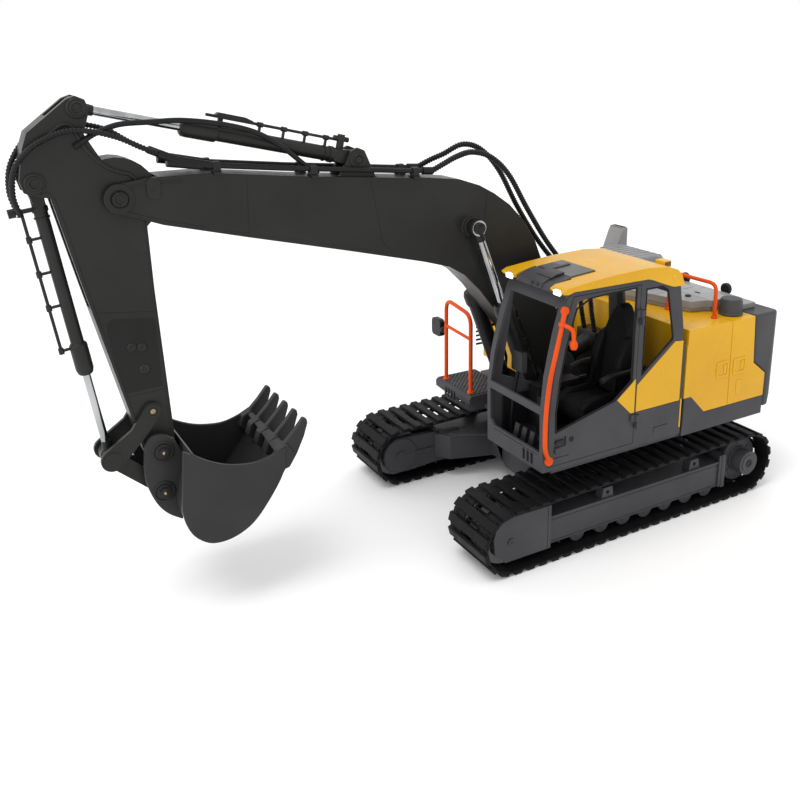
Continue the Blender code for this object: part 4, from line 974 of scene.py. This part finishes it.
# ---- digging arm
def rail_pipe(line, start, end, offset, radius, posts, barrel):
    """A thin pipe beside a cylinder's barrel, on square posts."""
    shapes = [bar(line, (start, offset), (end, offset), radius, 10)]
    for distance in posts:
        shapes.append(bar(line, (distance, barrel * 0.7), (distance, offset), 0.85, 4))
        shapes.append(bar(line, (distance - 1.4, offset), (distance + 1.4, offset), radius + 0.5, 10))
    return shapes


def build_cylinder(stem, line, y, radius, length, collar, swell, eye_radius, body_barrel, body_rod, look):
    """Rounds a cylinder's barrel and rod, and adds a swollen gland, rings and an eye."""
    a, b = line
    refine(f"{stem}_barrel", 0.3, look=look)
    refine(f"{stem}_rod", 0)
    rings = []
    for distance, wide, extra in ((radius + 9, 2.2, 0.5), (radius + 12.6, 0.7, 0.5)):
        p, q = between(a, b, distance - wide / 2), between(a, b, distance + wide / 2)
        rings.append(tube([at(p, y), at(q, y)], radius + extra, 24))
    steps = ((-collar - 1.2, 0), (-collar, swell), (-1.6, swell), (-0.2, swell - 0.5), (0.6, swell - 0.8),
        (1, swell - 1.3))
    path = [at(between(a, b, length + d), y) for d, _ in steps]
    rings.append(tube(path, radius, 28, [radius + grow for _, grow in steps]))
    piece(f"{stem}_collars", body_barrel, look, rings, 0.18, "boom_metal")
    neck = hypot(b[0] - a[0], b[1] - a[1])
    p, q = between(a, b, neck - eye_radius - 3.6), between(a, b, neck - 1.5)
    eye = [lathe("Y", b, [(eye_radius + 0.25, y - 2.3), (eye_radius + 0.45, y - 1.9),
        (eye_radius + 0.45, y + 1.9), (eye_radius + 0.25, y + 2.3)], 28),
        tube([at(p, y), at(q, y)], 1, 20, [radius * 0.5 + 0.5, radius * 0.5 + 1])]
    piece(f"{stem}_eye", body_rod, look, eye, 0.15, "boom_metal")


def build_boom():
    """Boom with seams, plates, raised lips and pin ends."""
    seams = []
    for side in SIDES:
        face = ys(side, BOOM_HALF - 0.14, BOOM_HALF + 1)
        seams.append(prism("Y", [(193.2, 212), (193.5, 212), (194.5, 178), (194.2, 178)], *face))
        seams.append(prism("Y", [(129.9, 202), (130.2, 202), (124.5, 170), (119, 163.4), (118.8, 163.6),
            (124.2, 170.2)], *face))
        seams.append(prism("Y", [(60.2, 190), (60.5, 190.1), (66.8, 141.3), (66.5, 141.2)], *face))
    refine("boom", 0.6, cut=seams, steps=3, soft=CRISP)
    plates = []
    for side in SIDES:
        def out(depth, side=side):
            return side * (BOOM_HALF + depth)
        plates.append(slab(rounded((233, 239), (201.8, 211.2), 2.6), side, BOOM_HALF - 0.2,
            BOOM_HALF + 0.75))
        plates.append(slab(rounded((234.4, 237.6), (205.6, 206.1), 0.2), side, BOOM_HALF + 0.6,
            BOOM_HALF + 0.95))
        plates.append(lathe("Y", ARM_PIVOT, [(6.6, out(-0.3)), (6.6, out(0.35)), (6.1, out(0.6)),
            (3.9, out(0.6)), (3.7, out(0.3))], 32))
        rim = [(223, 208.9), (238, 208.9), (247.6, 207.6), (253, 205.8), (254.9, 203.2), (254.2, 200.4),
            (250.6, 198), (231.8, 191.4), (214, 186.6)]
        plates.append(lip(rim, out(-0.05), 0.55))
        rim = [(206, 184.6), (180, 178.2), (150, 171), (122, 164.2)]
        plates.append(lip(rim, out(-0.12), 0.45))
        plates.append(lathe("Y", BOOM_FOOT, [(7, out(-0.4)), (7, out(-0.02)), (6.4, out(0.1))], 32))
    piece("boom_plates", "boom", "charcoal", plates, 0.2)
    refine("boom_foot_pin", 0.4)
    refine("arm_pivot_pin", 0.2)
    pins = pin_ends(ARM_PIVOT, 11.1, 3.3, 1) + pin_ends(ARM_CYL_BASE, 6.9, 3, 1.2)
    pins += pin_ends(BOOM_CYL_ROD, 19.4, 3.3, 0.9)
    piece("boom_pin_ends", "boom", "charcoal", pins, 0.12)
    ear_rings = [turned(ARM_CYL_BASE, side, [(4.6, 6.7), (4.6, 7.2), (3.9, 7.5), (3.1, 7.5)], 28)
        for side in SIDES]
    piece("boom_ear_rings", "boom", "charcoal", ear_rings, 0.1)


def build_boom_pipes():
    """The two pipes on top of the boom, and their clamps."""
    clamps = []
    for name, side in NAMED_SIDES:
        y = side * 8.2
        run = [(228.5, y, 217.2), (214, y, 215.2), (168, y, 210.4), (114, y, 205.6), (95, y, 204.2)]
        pipes = [tube(smooth_path(run, 6), 1.35, 14), tube([(228.8, y, 217.3), (213, y, 215)], 2.1, 14),
            tube([(99.5, y, 204.5), (93.6, y, 204.1)], 2, 14)]
        stand_in(f"pipe_{name}", f"boom_pipe_{name}", "hose", pipes, 0.15)
        for x, z in ((207, 211.4), (160, 206.5), (104, 201.7)):
            clamps.append(prism("X", rounded((y - 2.2, y + 2.2), (z - 0.8, z + 5), 1.6), x - 1.8,
                x + 1.8))
            clamps.append(box((x - 1.8, x + 1.8), (y - 3.4, y + 3.4), (z - 0.9, z + 0.5)))
    piece("pipe_clamps", "boom", "black", clamps, 0.25)


def build_boom_cylinders():
    """Both lift cylinders with a pipe and a foot pin each, and the arm's cylinder with its pipe."""
    for name, side in NAMED_SIDES:
        stem = f"boom_cylinder_{name}"
        y = side * BOOM_CYL_Y
        line = BOOM_CYL_BASE, BOOM_CYL_ROD
        build_cylinder(stem, line, y, 4.7, 70.5, 6.5, 1.1, 4.3, f"boom_barrel_{name}", f"boom_rod_{name}",
            "black")
        run = [at(beside(*line, d, o), y) for d, o in ((14, 4.6), (18, 6.6), (24, 7.4), (58, 7.4),
            (63, 6.6), (65, 4.8))]
        parts = [tube(smooth_path(run, 5), 0.9, 10)]
        parts += [bar(line, (d, 3.4), (d, 8), 1.1, 4, y) for d in (27, 44, 58)]
        piece(f"{stem}_pipe", f"boom_barrel_{name}", "black", parts, 0.12)
        ends = [pin_end(BOOM_CYL_BASE, side * 21.6, side, 3, 0.8)]
        piece(f"{stem}_foot_pin", "upper", "dark_steel", ends, 0.1)

    line = ARM_CYL_BASE, ARM_CYL_ROD
    build_cylinder("arm_cylinder", line, 0, 3.6, 86, 15, 0.75, 4.1, "arm_barrel", "arm_rod", "charcoal")
    side_pipe = rail_pipe(line, 8, 76, 7.6, 0.75, (16, 27, 38, 50), 3.6)
    outline = ((54, 6.9), (70, 6.9), (72, 8), (70.5, 9.6), (58, 9.6), (54, 8.6))
    head = [prism("Y", [beside(*line, d, o) for d, o in outline], -2, 2),
        bar(line, (69, 2.4), (69, 7.6), 1.5, 4), bar(line, (8, 2), (8, 10.6), 1.9, 12),
        bar(line, (4, 8.4), (12, 8.4), 1.3, 12)]
    piece("arm_cylinder_pipe", "arm_barrel", "charcoal", side_pipe + head, 0.15)


def build_arm():
    """Arm with weld seams, raised lips, darker side panels of painted shade, bolts and pin ends."""
    grooves = []
    for side in SIDES:
        face = ys(side, ARM_HALF - 0.16, ARM_HALF + 1)
        grooves.append(prism("Y", [(257, 111.3), (257, 111.6), (236, 112.5), (236, 112.2)], *face))
        grooves.append(prism("Y", [(266, 153.3), (266, 153.6), (236, 149.8), (236, 149.5)], *face))
    refine("arm", 0.5, cut=grooves, steps=3, soft=CRISP)
    plates, panels = [], []
    panel = [(259, 149.4), (261.3, 147.4), (261.7, 143), (258.6, 122), (256.6, 113), (239.8, 113.8),
        (240.5, 147.2)]
    ear = [(279.6, 228), (275.6, 230.9), (271.1, 234.4), (268, 235.4), (265.6, 233.6), (262.6, 226.9),
        (258.9, 221.5), (253.9, 216.9), (249.6, 214.6), (244.8, 213), (241.6, 209.4)]
    front = [(281.4, 207), (276.1, 204.2), (268, 164.4), (250.4, 84)]
    back = [(240.9, 208), (240.6, 192), (240.3, 160.6), (238, 90)]
    for side in SIDES:
        y = side * (ARM_HALF - 0.1)
        plates += [lip(ear, y, 1), lip(front, y, 0.45), lip(back, y, 0.45)]
        panels.append(slab(panel, side, ARM_HALF - 0.3, ARM_HALF + 0.05))
        for centre in (ARM_CYL_ROD, BUCKET_CYL_BASE):
            plates.append(turned(centre, side, [(4.3, 6.8), (4.3, 7.7), (3.8, 8.1), (3.2, 8.1)], 28))
        for spot, size in (((251.8, 134.9), 2.2), ((247.3, 134.1), 2.2), ((247, 123.6), 2.5),
                ((245.4, 100.7), 2.3)):
            plates.append(lathe("Y", spot, [(size, side * 6.8), (size, side * 7.3),
                (size * 0.8, side * 7.75), (size * 0.45, side * 7.75), (size * 0.35, side * 7.45)], 18))
        plates.append(box((247.3, 251.8), ys(side, 6.8, 7.25), (133.3, 135.6)))
        plates.append(turned(LEVER_PIVOT, side, [(4, 6.7), (4, 7.1)], 24))
    piece("arm_plates", "arm", "charcoal", plates, 0.12)
    # the panels are a thin darker sheet on each side of the arm: painted shade
    piece("arm_shade_panels", "arm", "panel_shade", panels)
    pins = pin_ends(ARM_CYL_ROD, 8, 3, 1.1) + pin_ends(BUCKET_CYL_BASE, 7.8, 3, 1.1)
    piece("arm_pin_ends", "arm", "charcoal", pins, 0.1)


def build_bucket_linkage():
    """The bucket's cylinder with its pipe, the bent lever plates and the link."""
    line = BUCKET_CYL_BASE, LINK_TOP
    build_cylinder("bucket_cylinder", line, 0, 2.9, 88, 13.5, 1, 3.7, "bucket_barrel", "bucket_rod",
        "charcoal")
    pipe = rail_pipe(line, 12, 76, 7.4, 0.75, (24, 39.5, 55, 75.5), 2.9)
    pipe += [bar(line, (11.5, 2), (11.5, 11), 1.3, 4), bar(line, (11.5, 9.6), (11.5, 12.6), 2, 12)]
    piece("bucket_cylinder_pipe", "bucket_barrel", "charcoal", pipe, 0.15)

    elbow = beside(LEVER_PIVOT, LINK_TOP, 12.5, -1.6)
    plates = []
    for side in SIDES:
        face = ys(side, ARM_HALF + 0.3, 9.4)
        plates.append(prism("Y", capsule((LEVER_PIVOT, 4.1), (elbow, 3.7)), *face))
        plates.append(prism("Y", capsule((elbow, 3.6), (LINK_TOP, 5.3)), *face))
        plates.append(turned(LEVER_PIVOT, side, [(3.4, 9.2), (3.4, 9.8), (3, 10), (2.2, 10), (2, 9.6)],
            28))
        plates.append(turned(LINK_TOP, side, [(4.2, 9.2), (4.2, 9.7), (3.6, 9.8)], 28))
    core = lathe("Y", LEVER_PIVOT, [(2, -9.5), (2, 9.5)], 16)
    moulding("lever_plates", "idler_lever", "charcoal", core, plates, (), 0.25)
    screws = [turned(LEVER_PIVOT, side, [(1.3, 9.5), (1.3, 9.9), (1, 10.1), (0.4, 10.1), (0.3, 9.8)], 16)
        for side in SIDES]
    piece("lever_screws", "idler_lever", "brass", screws)
    refine("bucket_link", 0.3)


BUCKET_RIM = [(234.8, 86), (229.4, 82), (222.6, 77.8), (215, 75.2), (207, 74.2), (198.4, 75.4),
    (188.6, 79)]
BUCKET_BACK = [(188.4, 68.6), (194, 59.6), (202.2, 49.2), (208.6, 42.6), (216, 38.8), (223.4, 37.4),
    (230.4, 38.6), (236.4, 43.6), (239.8, 50.6), (240.6, 58.4), (238.6, 66.4), (235.4, 76)]
BUCKET_FACE = [(190.2, 68), (194.4, 60), (202.2, 49.2), (208.6, 42.6), (216, 38.6), (223.6, 37.2),
    (230.8, 38.6), (237.2, 44.2), (240.4, 51.4), (241.6, 58.6)]
FACE_RIM = [(238.8, 88.2), (233.3, 84.6), (225.5, 79.6), (216.1, 75.8), (204.6, 74.2), (196.4, 75.8),
    (189.4, 78.6)]
EAR = [(238.4, 88.4), (242.5, 91.2), (247.4, 91.6), (251.2, 88), (252.8, 80.4), (253.2, 71.8),
    (251.6, 63.5), (248.4, 55.6), (244, 50), (238, 45.6)]
BLADE = [(190.6, 67), (187, 67.2), (183, 73.4), (179, 81.6), (176.9, 88), (177.2, 90.2), (178.8, 90.9),
    (184, 84.8), (190.6, 78.4)]
BLADE_ROOT = [(190.8, 66.4), (187.6, 67.4), (185, 74.6), (188.4, 79.8), (193.4, 77.4), (195.6, 71.6)]


def build_bucket():
    """Bucket shell, side faces with a raised edge, ears, ringed bolts and five blade teeth."""
    middle = (216, 62)

    def shrunk(points, depth):
        """The points, moved towards the middle of the bowl."""
        moved = []
        for x, z in points:
            away = hypot(x - middle[0], z - middle[1])
            moved.append((x - (x - middle[0]) * depth / away, z - (z - middle[1]) * depth / away))
        return moved

    back, half = curve(BUCKET_BACK, 5), 29.3
    outer = curve(BUCKET_RIM, 5) + shrunk(back, 0.6)
    pocket = prism("Y", [(190.8, 78.6)] + shrunk(back, 2.4) + [(233.4, 84.2), (233.4, 110), (190.8, 110)],
        -half + 2.1, half - 2.1)
    moulding("bucket_shell", "bucket", "grey_bucket", prism("Y", outer, -half + 1, half - 1), (),
        [pocket], 0.3)
    faces, ears = [], []
    for side in SIDES:
        faces.append(slab(curve(FACE_RIM, 4) + curve(BUCKET_FACE, 4), side, half - 2.2, half))
        ears.append(slab(curve(EAR, 4) + [(235.4, 52), (234.6, 80)], side, 9.8, 12.4))
    piece("bucket_faces", "bucket", "grey_bucket", faces, 0.45, soft=CRISP)
    piece("bucket_ears", "bucket", "grey_bucket", ears, 0.4, soft=CRISP)
    blades = []
    for i in range(5):
        y = (i - 2) * 12.8
        blades += [prism("Y", BLADE, y - 1.7, y + 1.7), prism("Y", BLADE_ROOT, y - 2.8, y + 2.8)]
    piece("bucket_teeth", "bucket", "grey_bucket", blades, 0.45, steps=3)
    bolts, centres = [], []
    for side in SIDES:
        for centre in (BUCKET_PIVOT, LINK_FOOT):
            bolts += bolt(centre, side * 12.9, side, 3.7, 1.5)
            bolts.append(turned(centre, side, [(5.3, 12.2), (5.3, 12.8), (4.9, 13.1), (4.3, 13.1),
                (4.1, 12.8)], 28))
            centres.append(turned(centre, side, [(0.8, 14.2), (0.8, 14.8), (0.5, 14.95)], 14))
    piece("bucket_bolts", "bucket", "charcoal", bolts, 0.12)
    piece("bucket_bolt_centres", "bucket", "brass", centres)


def build_hoses():
    """Wrapped hoses at the arm's joint and the boom's foot, the smooth hose and the deck's loop."""
    def bridge(name, shapes, node=None):
        """A hose from its shapes, fixed in place on no body; it stands for a CAD node when one is given."""
        obj = new_object(name, build_mesh(name, shapes))
        obj.data.shade_smooth()
        obj.data.set_sharp_from_angle(angle=radians(HOSE_SOFT))
        obj.data.materials.append(LOOKS["hose"])
        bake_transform(obj)
        if node:
            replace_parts(obj, node)

    for name, side, lift in (("left", 1, 0), ("right", -1, 1.6)):
        y = side * 9.4
        route = [(219, side * 8.2, 215.9), (229.2, side * 8.6, 220), (238, y, 224),
            (249, y, 229.4 + lift), (260, y, 232.4 + lift), (270, y, 232.6 + lift),
            (281.7, side * 8.8, 227.6 + lift), (289.4, side * 7.4, 219), (291.6, side * 5.6, 208),
            (289.6, side * 4, 198)]
        sleeve = tube([(232.4, side * 8.8, 221.6), (224, side * 8.4, 217.8), (208, side * 8.2, 214.4)],
            1.9, 14)
        bridge(f"arm_hose_wrapped_{name}", [wrapped_hose(route, 1.2), sleeve],
            f"arm_hose_{name}")
        y = side * 5
        route = [(93.5, side * 8.2, 204.2), (86, side * 8, 207.4), (77.7, side * 7, 210.4),
            (67, y, 211.8 + 2 * lift), (55, y, 208.4 + 2 * lift), (43, y, 198 + lift), (30, y, 178),
            (16, y, 158), (2, y, 142), (-10, y, 131), (-18, y, 121), (-20.8, y, 108), (-22.6, y, 100),
            (-24, y, 94.5)]
        bridge(f"foot_hose_wrapped_{name}", [wrapped_hose(route, 1.45)],
            f"foot_hose_{name}")
    over = smooth_path([(266, 7.9, 226), (260.7, 7.4, 229.2), (256.4, 6.8, 231.4), (250.1, 6.2, 233.6),
        (244.1, 6, 234.6), (232.8, 6, 234.8), (221.1, 6, 235), (207, 6, 233.4), (194, 6, 230.6),
        (183.7, 6, 226.8), (172.8, 6, 219.8), (163.1, 6.2, 211.6), (156.5, 6.6, 207.4)], 5)
    bridge("over_hose", [tube(over, 1.25, 12)])
    drop = [(-21, -14.6, 58), (-21, -14.6, 94), (-20, -14.6, 112), (-15.5, -14.8, 121), (-11, -15, 112),
        (-10, -15, 94), (-10, -15, 58)]
    obj = piece("deck_hose", "upper", "hose", [wrapped_hose(drop, 1.45)])
    obj.data.set_sharp_from_angle(angle=radians(HOSE_SOFT))


# ---- stage
CAMERA_AT = (330.26, 419.82, 267.42)
CAMERA_YAW, CAMERA_PITCH, CAMERA_ROLL = -121.635, -16.94, -0.039
CAMERA_LENS, CAMERA_SHIFT = 40.863, (-0.075, -0.1)


def build_camera():
    """The camera, from a heading, a pitch and a roll in degrees."""
    yaw, pitch, roll = (radians(a) for a in (CAMERA_YAW, CAMERA_PITCH, CAMERA_ROLL))
    camera = new_object("camera", bpy.data.cameras.new("camera"))
    turn = Matrix.Rotation(yaw - pi / 2, 4, "Z") @ Matrix.Rotation(pitch + pi / 2, 4, "X")
    turn = turn @ Matrix.Rotation(roll, 4, "Z")
    x, y, z = CAMERA_AT
    camera.matrix_world = Matrix.Translation(((x + SLEW_X) * MM, y * MM, z * MM)) @ turn
    camera.data.lens = CAMERA_LENS
    camera.data.shift_x, camera.data.shift_y = CAMERA_SHIFT
    camera.data.clip_start = 0.01
    bpy.context.scene.camera = camera


def light(name, kind, place, target, power, size):
    """A soft lamp that faces a target; size is its width, or its angle for a sun."""
    data = bpy.data.lights.new(name, kind)
    data.energy = power
    if kind == "SUN":
        data.angle = radians(size)
    else:
        data.size = size
    obj = new_object(name, data)
    obj.location = place
    obj.rotation_mode = "QUATERNION"
    obj.rotation_quaternion = (Vector(target) - Vector(place)).to_track_quat("-Z", "Y")


def build_stage():
    """A pale floor and soft studio light."""
    size = 40
    mesh = bpy.data.meshes.new("floor")
    mesh.from_pydata([(-size, -size, -0.0002), (size, -size, -0.0002), (size, size, -0.0002),
        (-size, size, -0.0002)], [], [[0, 1, 2, 3]])
    floor = new_object("floor", mesh)
    paper = surface("paper", (0.90, 0.90, 0.90), (0.94, 0.94, 0.94), 0.9, patch=3, grain=200, relief=0.01)
    floor.data.materials.append(paper)
    world = bpy.data.worlds.new("studio")
    world.use_nodes = True
    world.node_tree.nodes["Background"].inputs["Color"].default_value = (1, 1, 1, 1)
    world.node_tree.nodes["Background"].inputs["Strength"].default_value = 1
    bpy.context.scene.world = world
    light("top_sun", "SUN", (0.5, 0.1, 1.3), (0, 0, 0), 1.1, 30)
    light("side_panel", "AREA", (1.1, 0.35, 0.45), (0.1, 0, 0.1), 2.5, 0.6)
    bpy.context.scene.view_settings.view_transform = "Standard"


# ---- all of it
build_camera()
build_stage()
build_undercarriage()
build_cab()
build_roof()
build_seat()
build_controls()
build_cab_rail()
build_body_rails()
build_mirror()
build_step_box()
build_engine_body()
build_hood()
build_air_box()
build_inside()
build_boom()
build_boom_pipes()
build_boom_cylinders()
build_arm()
build_bucket_linkage()
build_bucket()
build_hoses()
